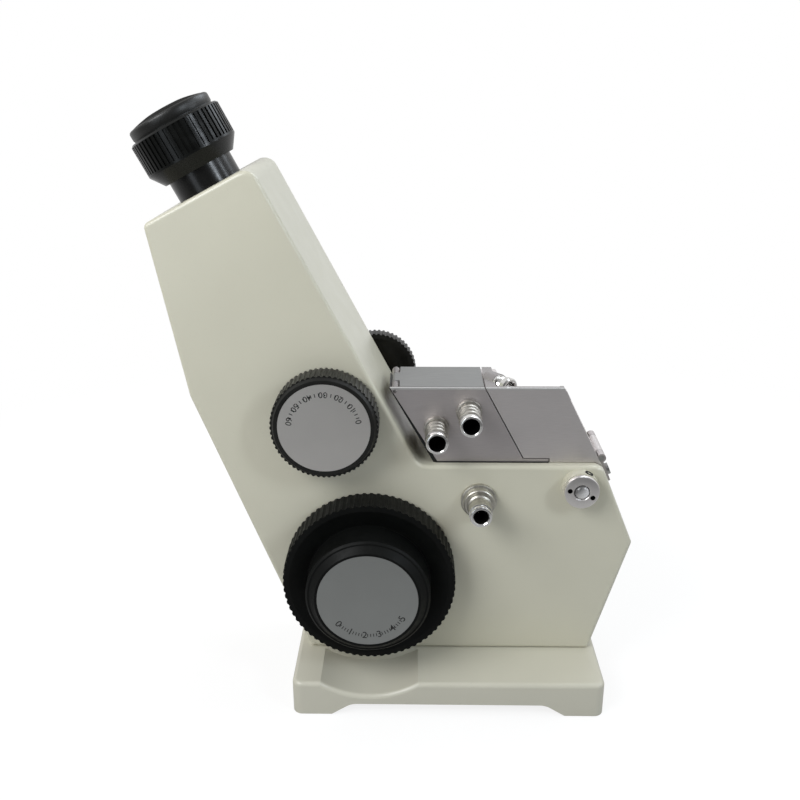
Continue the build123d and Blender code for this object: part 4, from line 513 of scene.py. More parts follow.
def pearl_glass(name, colour, centre, radius):
    """Ground lamp lens under a polished skin, with painted shade towards the upper left and painted light
    towards the lower right.
    """
    finish = Finish(name, Metallic=0.0, Coat_Weight=0.8, Coat_Roughness=0.06, Transmission_Weight=0.1)
    across = finish.maths("SUBTRACT", finish.axis(finish.place, "X"), centre.x)
    down = finish.maths("SUBTRACT", centre.z, finish.axis(finish.place, "Z"))
    corner = 0.9 * radius
    # Painted light and shade: the colour runs from dark at the upper left to bright at the lower right.
    glow = finish.between(finish.maths("ADD", across, down), 0.0, 1.0, -corner, corner)
    frost = finish.shades(finish.noise(1.2), colour, 0.94, 1.06)
    finish.tone(finish.blend(glow, shade(colour, 0.16), frost))
    finish.gloss(finish.between(finish.noise(1.0), 0.22, 0.34))
    finish.grain(finish.noise(0.3), 0.003, 0.4)
    return finish.material


def dress(material, *nodes):
    """Give CAD nodes their finish."""
    for name in nodes:
        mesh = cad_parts[name].data
        if len(mesh.materials) == 0:
            mesh.materials.append(material)
        for index in range(len(mesh.materials)):
            mesh.materials[index] = material


def dress_faces(piece, material, chosen):
    """Give a second finish to the faces whose centre the test picks."""
    piece.data.materials.append(material)
    index = len(piece.data.materials) - 1
    for face in piece.data.polygons:
        if chosen(face.center):
            face.material_index = index


def dress_bore(piece, material, radius):
    """Give a second finish to the wall of a bore along Z."""
    dress_faces(piece, material, lambda centre: centre.xy.length < radius + HAIR)


# ------------------------------------------------------------------ settings
def colour_setting(label, about, value):
    return bpy.props.FloatVectorProperty(
        name=label, description=about, subtype="COLOR", size=3, min=0.0, max=1.0, default=value
    )


def length_setting(label, about, millimetres):
    return bpy.props.FloatProperty(
        name=label, description=about, unit="LENGTH", default=millimetres * MM, precision=5
    )


def power_setting(label, about, watts):
    return bpy.props.FloatProperty(name=label, description=about, unit="POWER", default=watts)


def share_setting(label, about, share):
    return bpy.props.FloatProperty(
        name=label, description=about, subtype="FACTOR", min=0.0, max=1.0, default=share
    )


class RefractometerFinishes(bpy.types.PropertyGroup):
    enamel: colour_setting("Housing enamel", "Paint of the housing and its cover", (0.62, 0.60, 0.485))
    foot_enamel: colour_setting("Foot enamel", "Paint of the base casting", (0.62, 0.60, 0.50))
    resin: colour_setting("Knob resin", "Black of the knobs and handwheels", (0.0040, 0.0044, 0.0040))
    small_resin: colour_setting("Small knobs", "Dusty black of the small knobs", (0.009, 0.009, 0.0078))
    rubber: colour_setting("Rubber", "Black of the eye cup", (0.008, 0.008, 0.0072))
    anodising: colour_setting("Anodising", "Black of the eyepiece tube", (0.005, 0.0052, 0.0050))
    # The two discs are one satin metal; the handwheel disc's darker colour is painted shade.
    small_disc: colour_setting("Small disc", "Metal of the dispersion disc", (0.86, 0.835, 0.80))
    large_disc_painted_shade: colour_setting("Large disc", "Metal of the handwheel disc", (0.38, 0.39, 0.38))
    seat: colour_setting("Prism seats", "Ground alloy of the fixed prism seat", (0.60, 0.56, 0.555))
    lid: colour_setting("Swinging seat", "Ground alloy of the hinged prism seat", (0.74, 0.70, 0.688))
    flap: colour_setting("Seat cover", "Alloy of the cover on top of the fixed seat", (0.57, 0.57, 0.56))
    silver: colour_setting("Silver fittings", "Satin alloy of the small fittings", (0.66, 0.645, 0.62))
    window: colour_setting("Window plate", "Pale alloy around the scale lamp window", (0.88, 0.85, 0.83))
    socket: colour_setting("Thermometer plating", "Dull plate of the thermometer seat", (0.58, 0.56, 0.50))
    tail: colour_setting("Dull plating", "Grimy plate of the spouts", (0.52, 0.495, 0.45))
    # Brighter, glossier plate at the spout mouths and on the lid's spouts.
    plate: colour_setting("Bright plating", "Rubbed plate of the spout mouths", (0.82, 0.81, 0.79))
    pearl: colour_setting("Lamp window", "Ground glass of the scale lamp window", (0.88, 0.86, 0.85))
    steel: colour_setting("Steel", "Shafts, pins and screws", (0.50, 0.50, 0.49))
    brass: colour_setting("Brass", "Bushes and gears inside", (0.66, 0.48, 0.22))
    ink: colour_setting("Ink", "Numerals and ticks of the dials", (0.016, 0.016, 0.015))


class RefractometerMarks(bpy.types.PropertyGroup):
    numeral_height: length_setting("Numerals", "Height of the small dial's numerals", 2.4)
    wheel_numeral_height: length_setting("Wheel numerals", "Height of the large dial's numerals", 3.0)
    ring_radius: length_setting("Ring radius", "Radius of the small dial's numerals", 13.6)
    wheel_ring_radius: length_setting("Wheel ring radius", "Radius of the large dial's numerals", 15.6)
    tick_length: length_setting("Tick length", "Length of the short ticks", 1.4)
    tick_width: length_setting("Tick width", "Width of the ticks", 0.34)
    proud: length_setting("Proud of disc", "How far the ink stands off the plate", 0.02)


class RefractometerFittings(bpy.types.PropertyGroup):
    tail_bore: length_setting("Spout bore", "Radius of the hose spouts' bore", 3.25)
    tail_radius: length_setting("Spout radius", "Largest radius of a hose spout", 4.4)
    tail_length: length_setting("Spout length", "How far a hose spout stands out", 17.0)
    thermometer_length: length_setting("Thermometer seat", "How far its seat stands out", 15.5)
    thermometer_bore: length_setting("Thermometer bore", "Radius of the thermometer's hole", 3.0)
    window_plate: length_setting("Lamp window plate", "Thickness of the lamp window's plate", 2.0)
    window_bore: length_setting("Lamp window bore", "Radius of the hole behind the lamp window", 3.1)
    spanner_hole: length_setting("Spanner holes", "Radius of the two spanner holes", 1.0)
    grub_screw: length_setting("Grub screw", "Radius of the screw that holds the lamp window", 1.7)
    # Thickness of the black strip that paints the shadow beside the fixed seat.
    gap_shadow: length_setting("Seal", "Thickness of the seal on the fixed seat", 1.0)


class RefractometerStudio(bpy.types.PropertyGroup):
    key_power: power_setting("Key light", "Power of the window on the near left", 2.3)
    window_power: power_setting("Low window", "Power of the upright window on the near left", 0.3)
    strip_power: power_setting("Strip light", "Power of the tall strip on the near right", 1.4)
    side_power: power_setting("Side strip", "Power of the thin strip on the right", 0.45)
    back_power: power_setting("Back light", "Power of the high panel behind", 0.5)
    room_front: share_setting("Room in front", "Brightness of the room before the object", 0.10)
    room_back: share_setting("Room behind", "Brightness of the room behind the object", 0.55)
    floor_colour: colour_setting("Floor", "Colour of the bench", (0.45, 0.45, 0.45))
    shadow_share: share_setting("Shadow", "Share of true shading in the bench near the object", 0.45)


# ------------------------------------------------------------------ finishes on the CAD parts
SMALL_KNOBS = ("dispersion_knob", "dial_knob", "lock_wheel")
TUBES = ("eyepiece_tube", "eyepiece_barrel", "telescope_tube", "objective_cell")
SCREWS = ("base_screws", "cover_screws", "seat_screws", "hinge_screws", "lock_stud")
PINS = ("hinge_pin", "flap_pin")
SHAFTS = ("dispersion_shaft", "dial_drive_shaft", "dial_shaft", "adjust_shaft", "mirror_shaft")
BUSHES = ("wheel_bush", "dispersion_bush", "dial_bush")
GEARS = ("amici_mount_upper", "amici_mount_lower", "sector")
LENSES = ("objective_lens", "reticle", "field_lens", "eye_lens", "window_glass", "scale_glass")
PRISMS = ("amici_prism_upper", "amici_prism_lower", "refracting_prism", "lid_prism")


class REFRACTOMETER_OT_enamel(bpy.types.Operator):
    """Paint the housing, its cover and the base"""

    bl_idname = "refractometer.enamel"
    bl_label = "Paint castings"

    def execute(self, context):
        look = context.scene.refractometer_finishes
        dress(sprayed_enamel("Housing enamel", look.enamel), "housing_casting", "side_cover")
        dress(sprayed_enamel("Foot enamel", look.foot_enamel), "base_casting")
        return {"FINISHED"}


class REFRACTOMETER_OT_black_parts(bpy.types.Operator):
    """Finish the black knobs, handwheels and eyepiece parts"""

    bl_idname = "refractometer.black_parts"
    bl_label = "Finish black parts"

    def execute(self, context):
        look = context.scene.refractometer_finishes
        dress(moulded_black("Knob resin", look.resin), "adjust_wheel")
        dusty = moulded_black("Small knob resin", look.small_resin, gloss=0.34, specular=0.32)
        dress(dusty, *SMALL_KNOBS)
        glossy = moulded_black("Focus ring resin", look.resin, gloss=0.24, grain_mm=0.25, specular=0.26)
        dress(glossy, "focus_ring")
        dress(black_anodised("Black anodised", look.anodising), *TUBES)
        return {"FINISHED"}


class REFRACTOMETER_OT_metal_parts(bpy.types.Operator):
    """Finish the prism seats, dial discs, fittings, shafts and gears"""

    bl_idname = "refractometer.metal_parts"
    bl_label = "Finish metal parts"

    def execute(self, context):
        look = context.scene.refractometer_finishes
        # The handwheel disc takes a darker colour that paints shade on it.
        for name, colour in (("dispersion_disc", look.small_disc), ("adjust_disc", look.large_disc_painted_shade)):
            low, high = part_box(name)
            dress(spun_disc(f"Spun {name}", colour, (low + high) / 2), name)
        # Top near edge of the seats: the ground alloy paints its highlight along it and its shade on the
        # top face.
        edge = Vector((0, SEAT_LOW.y, SEAT_HIGH.z))
        dress(ground_alloy("Ground alloy", look.seat, edge), "prism_seat", "hinge_bracket")
        dress(ground_alloy("Lid alloy", look.lid, edge), "lid")
        dress(ground_alloy("Cover alloy", look.flap, edge), "mirror_flap")
        dress(bright_plate("Bright plate", look.plate), "lid_nipples")
        silver = blasted_metal("Satin silver", look.silver, 0.30)
        dress(silver, "calibration_screw", "compensator_frame")
        dress(machined_metal("Machined steel", look.steel), *SCREWS, *PINS, *SHAFTS)
        dress(machined_metal("Machined brass", look.brass, 0.24), *BUSHES, *GEARS)
        return {"FINISHED"}


class REFRACTOMETER_OT_optics(bpy.types.Operator):
    """Finish the lenses, prisms, scale and mirrors"""

    bl_idname = "refractometer.optics"
    bl_label = "Finish optics"

    def execute(self, context):
        dress(clear_glass("Optical glass", (0.94, 0.97, 0.96, 1)), *LENSES)
        dress(clear_glass("Flint glass", (0.96, 0.96, 0.90, 1)), *PRISMS)
        dress(silvered("Silvered mirror"), "swing_mirror", "flap_mirror")
        return {"FINISHED"}


# ------------------------------------------------------------------ eye cup
# Millimetres, with heights along the telescope from its crossing.
EYE_CUP_RADIUS = 16.5
EYE_CUP_HOLE = 7.6
EYE_CUP_FOOT = 122.5
EYE_CUP_FLOOR = 124.4
EYE_CUP_TOP = 129.35
EYE_CUP_TOP_ROUND = 50.0
EYE_CUP_SHOULDER = 1.1
EYE_CUP_WALL = 2.3
# The matt top starts this far below the shoulder's upper end.
MATT_START = 0.1


def cup_height(radius):
    """Height of the shallow spherical top of the eye cup at a radius."""
    return EYE_CUP_TOP - radius**2 / (2 * EYE_CUP_TOP_ROUND)


def eye_cup_profile():
    """Closed section of the cup: bore, shallow top, rounded shoulder, straight side, hollow foot."""
    hole, rim, soft, foot = EYE_CUP_HOLE, EYE_CUP_RADIUS, EYE_CUP_SHOULDER, EYE_CUP_FOOT
    lip = cup_height(hole)
    points = [(hole, EYE_CUP_FLOOR), (hole, lip - 0.7), (hole + 0.5, lip - 0.1)]
    points += [(radius, cup_height(radius)) for radius in (9.0, 10.5, 12.0, 13.5, rim - soft)]
    middle = cup_height(rim - soft) - soft
    for angle in map(math.radians, (70, 50, 30, 10)):
        points.append((rim - soft + soft * math.cos(angle), middle + soft * math.sin(angle)))
    points += [(rim, middle - 0.5), (rim - 0.05, foot + 1.0), (rim - 0.3, foot + 0.6), (rim - 0.35, foot)]
    return points + [(rim - EYE_CUP_WALL, foot), (rim - EYE_CUP_WALL, EYE_CUP_FLOOR)]


class REFRACTOMETER_OT_eye_cup(bpy.types.Operator):
    """Model the soft rubber cup of the eyepiece"""

    bl_idname = "refractometer.eye_cup"
    bl_label = "Model eye cup"

    def execute(self, context):
        look = context.scene.refractometer_finishes
        cup = turned_ring("eye_cup", eye_cup_profile(), 128)
        cup.data.materials.append(soft_rubber("Eye cup rubber", look.rubber))
        matt = soft_rubber("Eye cup top", look.rubber, 0.6, 0.05)
        start = (cup_height(EYE_CUP_RADIUS - EYE_CUP_SHOULDER) - MATT_START) * MM
        dress_faces(cup, matt, lambda centre: centre.z > start)
        settle(cup, ON_TELESCOPE)
        smooth(cup, 40)
        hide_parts("eye_cap")
        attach(cup, "focus")
        return {"FINISHED"}


# ------------------------------------------------------------------ hose spouts
# Millimetres, with heights from the face that a spout stands on. The neck's is its depth.
TAIL_FOOT_RADIUS = 5.1
TAIL_FOOT_HEIGHT = 2.0
TAIL_NECK = 0.85
TAIL_MOUTH = 3.0
TAIL_RIDGES = 3
TAIL_RIDGE_PITCH = 3.4
# One ridge, rising and falling: height above its own foot, and radius past the spout's.
RIDGE_RISE = ((0.9, -TAIL_NECK), (1.1, -0.25), (1.5, 0.05), (2.1, 0.15))
RIDGE_FALL = ((2.7, 0.05), (3.1, -0.25), (3.3, -TAIL_NECK))


def tail_profile(fit):
    """Closed section of a ridged hose spout, from its foot to its mouth."""
    bore, rim, length = fit.tail_bore / MM, fit.tail_radius / MM, fit.tail_length / MM
    foot, top, neck = TAIL_FOOT_RADIUS, TAIL_FOOT_HEIGHT, rim - TAIL_NECK
    points = [(bore, 0.0), (foot, 0.0), (foot, top - 0.5), (foot - 0.15, top - 0.15)]
    points += [(foot - 0.5, top), (neck, top)]
    for ridge in range(TAIL_RIDGES):
        low = top + ridge * TAIL_RIDGE_PITCH
        points += [(rim + out, low + up) for up, out in RIDGE_RISE + RIDGE_FALL]
    mouth = length - TAIL_MOUTH
    points += [(neck, mouth - 0.2), (rim - 0.3, mouth), (rim, mouth + 0.3), (rim, length - 0.6)]
    points += [(rim - 0.2, length - 0.2), (rim - 0.55, length)]
    return points + [(bore + 0.3, length), (bore, length - 0.3)]


class REFRACTOMETER_OT_hose_tails(bpy.types.Operator):
    """Turn the two ridged hose spouts of the fixed seat"""

    bl_idname = "refractometer.hose_tails"
    bl_label = "Turn hose spouts"

    def execute(self, context):
        fit = context.scene.refractometer_fittings
        look = context.scene.refractometer_finishes
        low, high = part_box("seat_nipples")
        rim, face = fit.tail_radius, SEAT_LOW.y
        first = turned_ring("hose_tail", tail_profile(fit), 72)
        plate = worn_plate("Spout plate", look.tail, look.plate, face - fit.tail_length)
        first.data.materials.append(plate)
        # Painted shade: the spouts' bores are near black.
        dress_bore(first, painted_hole_shade("Dark bore"), fit.tail_bore)
        second = copied(first)
        settle(first, facing_near((low.x + rim, face, low.z + rim)))
        settle(second, facing_near((high.x - rim, face, high.z - rim)))
        tails = joined("hose_tails", [first, second])
        smooth(tails)
        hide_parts("seat_nipples")
        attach(tails, "housing")
        return {"FINISHED"}


# ------------------------------------------------------------------ thermometer seat
# Radii in millimetres, from the flange to the mouth.
SOCKET_FLANGE = 7.34
SOCKET_COLLAR = 6.38
SOCKET_WAIST = 4.93
SOCKET_NECK = 4.30
SOCKET_BARREL = 4.59
SOCKET_GROOVE = 3.96
SOCKET_MOUTH = 4.35


def socket_profile(fit):
    """Closed section of the thermometer seat, from its flange at height 0 to its mouth."""
    bore, length = fit.thermometer_bore / MM, fit.thermometer_length / MM
    flange, collar, waist, mouth = SOCKET_FLANGE, SOCKET_COLLAR, SOCKET_WAIST, SOCKET_MOUTH
    points = [(bore, 0.0), (flange, 0.0), (flange, 1.2), (flange - 0.14, 1.6), (flange - 0.48, 1.8)]
    points += [(collar, 1.8), (collar, 3.9), (collar - 0.15, 4.35), (collar - 0.48, 4.6)]
    points += [(waist, 4.6), (waist, 6.2), (waist - 0.39, 6.6), (SOCKET_NECK, 6.7), (SOCKET_NECK, 7.4)]
    points += [(SOCKET_BARREL, 7.6), (SOCKET_BARREL, length - 2.5)]
    points += [(SOCKET_GROOVE, length - 2.3), (SOCKET_GROOVE, length - 1.8)]
    points += [(mouth - 0.05, length - 1.6), (mouth, length - 1.4), (mouth, length - 0.5)]
    points += [(mouth - 0.15, length - 0.15), (mouth - 0.44, length)]
    return points + [(bore + 0.34, length), (bore, length - 0.35)]


class REFRACTOMETER_OT_thermometer_seat(bpy.types.Operator):
    """Turn the thermometer seat on the near face"""

    bl_idname = "refractometer.thermometer_seat"
    bl_label = "Turn thermometer seat"

    def execute(self, context):
        fit = context.scene.refractometer_fittings
        look = context.scene.refractometer_finishes
        end = near_middle("thermometer_seat")
        seat = turned_ring("thermometer_socket", socket_profile(fit), 120)
        seat.data.materials.append(worn_plate("Thermometer plate", look.socket, look.plate, end.y))
        # Painted shade: the thermometer's bore is dark brown.
        bore_shade = machined_metal("Thermometer bore", (0.10, 0.095, 0.08), 0.4)
        dress_bore(seat, bore_shade, fit.thermometer_bore)
        settle(seat, facing_near(end + Vector((0, fit.thermometer_length, 0))))
        smooth(seat)
        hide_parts("thermometer_seat")
        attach(seat, "housing")
        return {"FINISHED"}


# ------------------------------------------------------------------ lamp window
# The lens, in millimetres: its dome, how far its edge lies behind the plate, and its play.
LENS_DOME = 1.5
LENS_SUNK = 0.55
LENS_TIP = 0.2
LENS_PLAY = 0.28
# The plate's spanner holes in degrees, and the grub screw in the boss behind the plate.
SPANNER_HOLE_REACH = 4.8 * MM
SPANNER_HOLE_TURNS = (172, 333)
SPANNER_HOLE_DEPTH = 1.4 * MM
BOSS_RADIUS = 7.3 * MM
GRUB_SCREW_TURN = math.radians(66)
GRUB_SCREW_BACK = 1.85 * MM
GRUB_SCREW_LENGTH = 1.6 * MM
GRUB_SCREW_PROUD = 0.15 * MM
GRUB_SCREW_SOCKET = 1.2 * MM


class REFRACTOMETER_OT_lamp_window(bpy.types.Operator):
    """Turn the lamp window's plate and lens, drill its spanner holes and set its grub screw"""

    bl_idname = "refractometer.lamp_window"
    bl_label = "Turn lamp window"

    def execute(self, context):
        fit = context.scene.refractometer_fittings
        look = context.scene.refractometer_finishes
        low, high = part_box("condenser_mount")
        centre = near_middle("condenser_mount")
        place = facing_near(centre)
        self.plate(fit, look, (high.x - low.x) / 2 / MM, place)
        self.lens(fit, look, centre, place)
        self.screw(fit, look, centre)
        return {"FINISHED"}

    def plate(self, fit, look, rim, place):
        bore, back = fit.window_bore / MM, -fit.window_plate / MM
        section = [(bore, back), (rim - 0.2, back), (rim, back + 0.2), (rim, -0.5), (rim - 0.15, -0.15)]
        section += [(rim - 0.5, 0.0), (bore + 0.25, 0.0), (bore, -0.25)]
        plate = turned_ring("window_plate", section, 96)
        plate.data.materials.append(blasted_metal("Window plate", look.window, 0.36))
        cutters = []
        for turn in SPANNER_HOLE_TURNS:
            spot = Matrix.Rotation(math.radians(turn), 4, "Z") @ Vector((SPANNER_HOLE_REACH, 0, 0))
            cutters.append(plug(32, fit.spanner_hole, 2 * SPANNER_HOLE_DEPTH, Matrix.Translation(spot)))
        drill(plate, cutters)
        near = fit.spanner_hole + HAIR

        def in_hole(spot):
            return spot.z < -0.1 * MM and abs(spot.xy.length - SPANNER_HOLE_REACH) < near

        # Painted shade: the walls of the spanner holes are near black.
        dress_faces(plate, painted_hole_shade("Spanner hole"), in_hole)
        settle(plate, place)
        smooth(plate)
        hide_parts("condenser_mount")
        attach(plate, "condenser")

    def lens(self, fit, look, centre, place):
        edge, back = fit.window_bore / MM - LENS_PLAY, -fit.window_plate / MM
        section = [(LENS_TIP, back), (edge, back)]
        for angle in map(math.radians, (0, 18, 36, 54, 72, 86)):
            section.append((edge * math.cos(angle), LENS_DOME * math.sin(angle) - LENS_SUNK))
        lens = turned_ring("lamp_lens", section, 64)
        close_tips(lens, LENS_TIP * MM + HAIR)
        settle(lens, place)
        smooth(lens, 40)
        lens.data.materials.append(pearl_glass("Pearl glass", look.pearl, centre, edge * MM))
        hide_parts("condenser_lens")
        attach(lens, "condenser")

    def screw(self, fit, look, centre):
        """Grub screw, sunk into the side of the boss behind the plate."""
        out = Vector((math.cos(GRUB_SCREW_TURN), 0, math.sin(GRUB_SCREW_TURN)))
        foot = centre + Vector((0, fit.window_plate + GRUB_SCREW_BACK, 0)) + out * BOSS_RADIUS
        sunk = Matrix.Translation((0, 0, GRUB_SCREW_PROUD - GRUB_SCREW_LENGTH / 2))
        screw = plug(40, fit.grub_screw, GRUB_SCREW_LENGTH, sunk)
        drill(screw, [plug(6, fit.grub_screw / 2, GRUB_SCREW_SOCKET, Matrix.Identity(4))])
        settle(screw, Matrix.Translation(foot) @ out.to_track_quat("Z", "Y").to_matrix().to_4x4())
        name_piece("window_grub_screw")
        smooth(screw)
        screw.data.materials.append(moulded_black("Blackened steel", look.resin, 0.45, 0.2, 0.2))
        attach(screw, "housing")


# ------------------------------------------------------------------ painted shadow beside the fixed seat
# The black strip paints the shadow in the gap between the fixed seat and the housing, thicker towards the
# foot.
# The strip has its plain thickness at GAP_SHADOW_MIDDLE and changes by GAP_SHADOW_SWELL over GAP_SHADOW_RAMP.
GAP_SHADOW_MIDDLE = -6 * MM
GAP_SHADOW_RAMP = 12 * MM
GAP_SHADOW_SWELL = 0.6
# Share of the seat's depth that the strip covers, and thickness of the dark line that paints the contact
# shadow along the foot.
GAP_SHADOW_SHARE = 0.45
FOOT_SHADOW_BEAD = 0.45 * MM


class REFRACTOMETER_OT_seat_gap_shadow(bpy.types.Operator):
    """Lay a black strip that paints the shadow in the gap behind the near part of the fixed seat, and a
    dark line that paints the contact shadow along its foot
    """

    bl_idname = "refractometer.seat_seal"
    bl_label = "Lay seat seal"

    def execute(self, context):
        fit = context.scene.refractometer_fittings
        look = context.scene.refractometer_finishes
        thick, foot_shadow = fit.gap_shadow, FOOT_SHADOW_BEAD
        width = (SEAT_HIGH.y - SEAT_LOW.y) * GAP_SHADOW_SHARE
        height = SEAT_HIGH.z - SEAT_LOW.z
        drop = height * math.tan(SEAT_LEFT_TILT)
        slant = height / math.cos(SEAT_LEFT_TILT)
        middle = Vector((SEAT_LOW.x + drop / 2, SEAT_LOW.y + width / 2, (SEAT_LOW.z + SEAT_HIGH.z) / 2))
        lean = Matrix.Translation(middle) @ Matrix.Rotation(-SEAT_LEFT_TILT, 4, "Y")
        strip = self.bar((thick, width, slant), lean @ Matrix.Translation((-thick / 2, 0, 0)))
        self.taper(strip, lean)
        start, end = SEAT_LOW.x + drop - thick, SEAT_HIGH.x
        along = Vector(((start + end) / 2, SEAT_LOW.y - foot_shadow / 2, SEAT_LOW.z + foot_shadow / 2))
        foot = self.bar((end - start, foot_shadow, foot_shadow), Matrix.Translation(along))
        gap_shadow = joined("seat_seal", [strip, foot])
        # Painted shadow: the strip and the line along the foot are black.
        gap_shadow.data.materials.append(soft_rubber("Seal rubber", look.resin))
        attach(gap_shadow, "housing")
        return {"FINISHED"}

    def taper(self, strip, lean):
        """Thin the strip towards its top and thicken it at its foot."""
        back = lean.inverted()
        for vertex in strip.data.vertices:
            spot = back @ vertex.co
            share = min(max((spot.z - GAP_SHADOW_MIDDLE) / GAP_SHADOW_RAMP, -1.0), 1.0)
            spot.x *= 1.0 - GAP_SHADOW_SWELL * share
            vertex.co = lean @ spot

    def bar(self, size, place):
        bar = block(size)
        apply_modifier(bar, "BEVEL", width=min(size) * 0.25, segments=2)
        return settle(bar, place)


# ------------------------------------------------------------------ dial marks
# Type size for numerals of height 1, and how much their strokes are thickened.
NUMERAL_SIZE = 1.36
NUMERAL_BOLDNESS = 0.011

# A dial: its marks, disc and body, the arc in degrees, the numerals, and the steps between two.
Dial = namedtuple("Dial", "name disc body arc numerals steps")
TENS = ("0", "10", "20", "30", "40", "50", "60")
ONES = ("0", "1", "2", "3", "4", "5")
SMALL_DIAL = Dial("dispersion_marks", "dispersion_disc", "dispersion_drive", (12, 168), TENS, 4)
LARGE_DIAL = Dial("adjust_marks", "adjust_disc", "adjust_drive", (222, 330), ONES, 5)


def numeral(text, height, depth):
    """Flat numeral in XY, centred on the origin."""
    select_only()
    bpy.ops.object.text_add(location=(0, 0, 0))
    word = bpy.context.object
    word.data.body = text
    word.data.size = height * NUMERAL_SIZE
    word.data.align_x = "CENTER"
    word.data.align_y = "CENTER"
    word.data.extrude = depth / 2
    word.data.offset = height * NUMERAL_BOLDNESS
    bpy.ops.object.convert(target="MESH")
    return bpy.context.object


def tick(width, length, depth):
    """Small bar in XY along Y, with its edges broken."""
    bar = block((width, length, depth))
    bpy.ops.object.mode_set(mode="EDIT")
    bpy.ops.mesh.select_all(action="SELECT")
    bpy.ops.mesh.bevel(offset=depth * 0.25, segments=1)
    bpy.ops.object.mode_set(mode="OBJECT")
    return bar


def dial_marks(dial, radius, height, marks):
    """Numerals on an arc, tops to the centre, with short ticks between them."""
    face = facing_near(near_middle(dial.disc))
    depth = marks.proud * 2
    short_tick = tick(marks.tick_width, marks.tick_length, depth)
    start, end = dial.arc
    count = (len(dial.numerals) - 1) * dial.steps
    made = []
    for index in range(count + 1):
        angle = math.radians(start + (end - start) * index / count)
        turn = Matrix.Rotation(angle + math.radians(90), 4, "Z")
        if index % dial.steps == 0:
            piece = numeral(dial.numerals[index // dial.steps], height, depth)
        else:
            piece = copied(short_tick)
        along = Matrix.Translation((radius * math.cos(angle), radius * math.sin(angle), 0))
        made.append(settle(piece, face @ along @ turn))
    discard(short_tick)
    return joined(dial.name, made)


class REFRACTOMETER_OT_dial_marks(bpy.types.Operator):
    """Print plain numerals and ticks on the two dial discs"""

    bl_idname = "refractometer.dial_marks"
    bl_label = "Print dial marks"

    def execute(self, context):
        marks = context.scene.refractometer_marks
        ink = printing_ink("Dial ink", context.scene.refractometer_finishes.ink)
        small = dial_marks(SMALL_DIAL, marks.ring_radius, marks.numeral_height, marks)
        large = dial_marks(LARGE_DIAL, marks.wheel_ring_radius, marks.wheel_numeral_height, marks)
        for piece, body in ((small, SMALL_DIAL.body), (large, LARGE_DIAL.body)):
            piece.data.materials.append(ink)
            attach(piece, body)
        return {"FINISHED"}


# ------------------------------------------------------------------ studio
# The bench keeps its shadow out to SHADOW_NEAR and is plain white from SHADOW_FAR on.
SHADOW_NEAR = 0.10
SHADOW_FAR = 0.45
BENCH_LIFT = 1.5
BENCH_DROP = 0.2 * MM
BENCH_SIZE = 6.0

# Metal and glass mirror a stage that grows from dark in front of the object to bright behind it.
MIRRORED_FRONT = 0.12
MIRRORED_BACK = 0.8
# It starts and ends there: on the bench by a point's Y, and in the room by the Y of a ray.
BENCH_FRONT, BENCH_BACK = -0.35, 0.2
MIRROR_FRONT, MIRROR_BACK = -0.75, 0.35
# The light that the room itself throws grows between these.
ROOM_FRONT, ROOM_BACK = -1.0, 0.4
ROOM_TINT = (1.0, 0.985, 0.955, 1)

# A lamp's panel: where it stands, what it faces, its size, and its tint.
Lamp = namedtuple("Lamp", "name power place target size tint")
DAY = (0.97, 0.985, 1.0)
SKY = (0.84, 0.92, 1.0)
LAMPS = (
    Lamp("high_window", "key_power", (-0.36, -0.34, 0.46), (-0.06, 0, 0.14), (0.36, 0.3), DAY),
    Lamp("low_window", "window_power", (-0.34, -0.6, 0.18), (-0.08, 0, 0.14), (0.16, 0.4), SKY),
    Lamp("near_strip", "strip_power", (0.52, -0.49, 0.52), (-0.1, 0, 0.2), (0.1, 0.24), SKY),
    Lamp("side_strip", "side_power", (0.42, -0.06, 0.38), (-0.04, 0, 0.2), (0.05, 0.4), SKY),
    Lamp("back_panel", "back_power", (0.12, 0.16, 0.44), (-0.03, 0, 0.18), (0.2, 0.2), SKY),
)

CAMERA_PLACE = (-0.01395, -0.361709, 0.251874)
CAMERA_RIGHT = Vector((0.999864, 0.016371, -0.002123))
CAMERA_UP = Vector((-0.003662, 0.345372, 0.938459))
CAMERA_AHEAD = Vector((-0.016096, 0.938323, -0.345385))
CAMERA_LENS = 41.7286
CAMERA_SENSOR = 36.0


def seen_rays(nodes):
    """1 for rays that look at the stage: straight, mirrored or through glass."""
    path = nodes.node("ShaderNodeLightPath").outputs
    mirrored = nodes.maths("MAXIMUM", path["Is Camera Ray"], path["Is Glossy Ray"])
    return nodes.maths("MAXIMUM", mirrored, path["Is Transmission Ray"])


def straight_rays(nodes):
    """1 for rays that come straight from the camera."""
    return nodes.node("ShaderNodeLightPath").outputs["Is Camera Ray"]


def panel_light(lamp, power):
    select_only()
    bpy.ops.object.light_add(type="AREA", location=lamp.place)
    panel = name_piece(lamp.name)
    panel.data.shape = "RECTANGLE"
    panel.data.size, panel.data.size_y = lamp.size
    panel.data.energy = power
    panel.data.color = lamp.tint
    panel.visible_camera = False
    aim = Vector(lamp.target) - Vector(lamp.place)
    panel.rotation_mode = "QUATERNION"
    panel.rotation_quaternion = aim.to_track_quat("-Z", "Y")


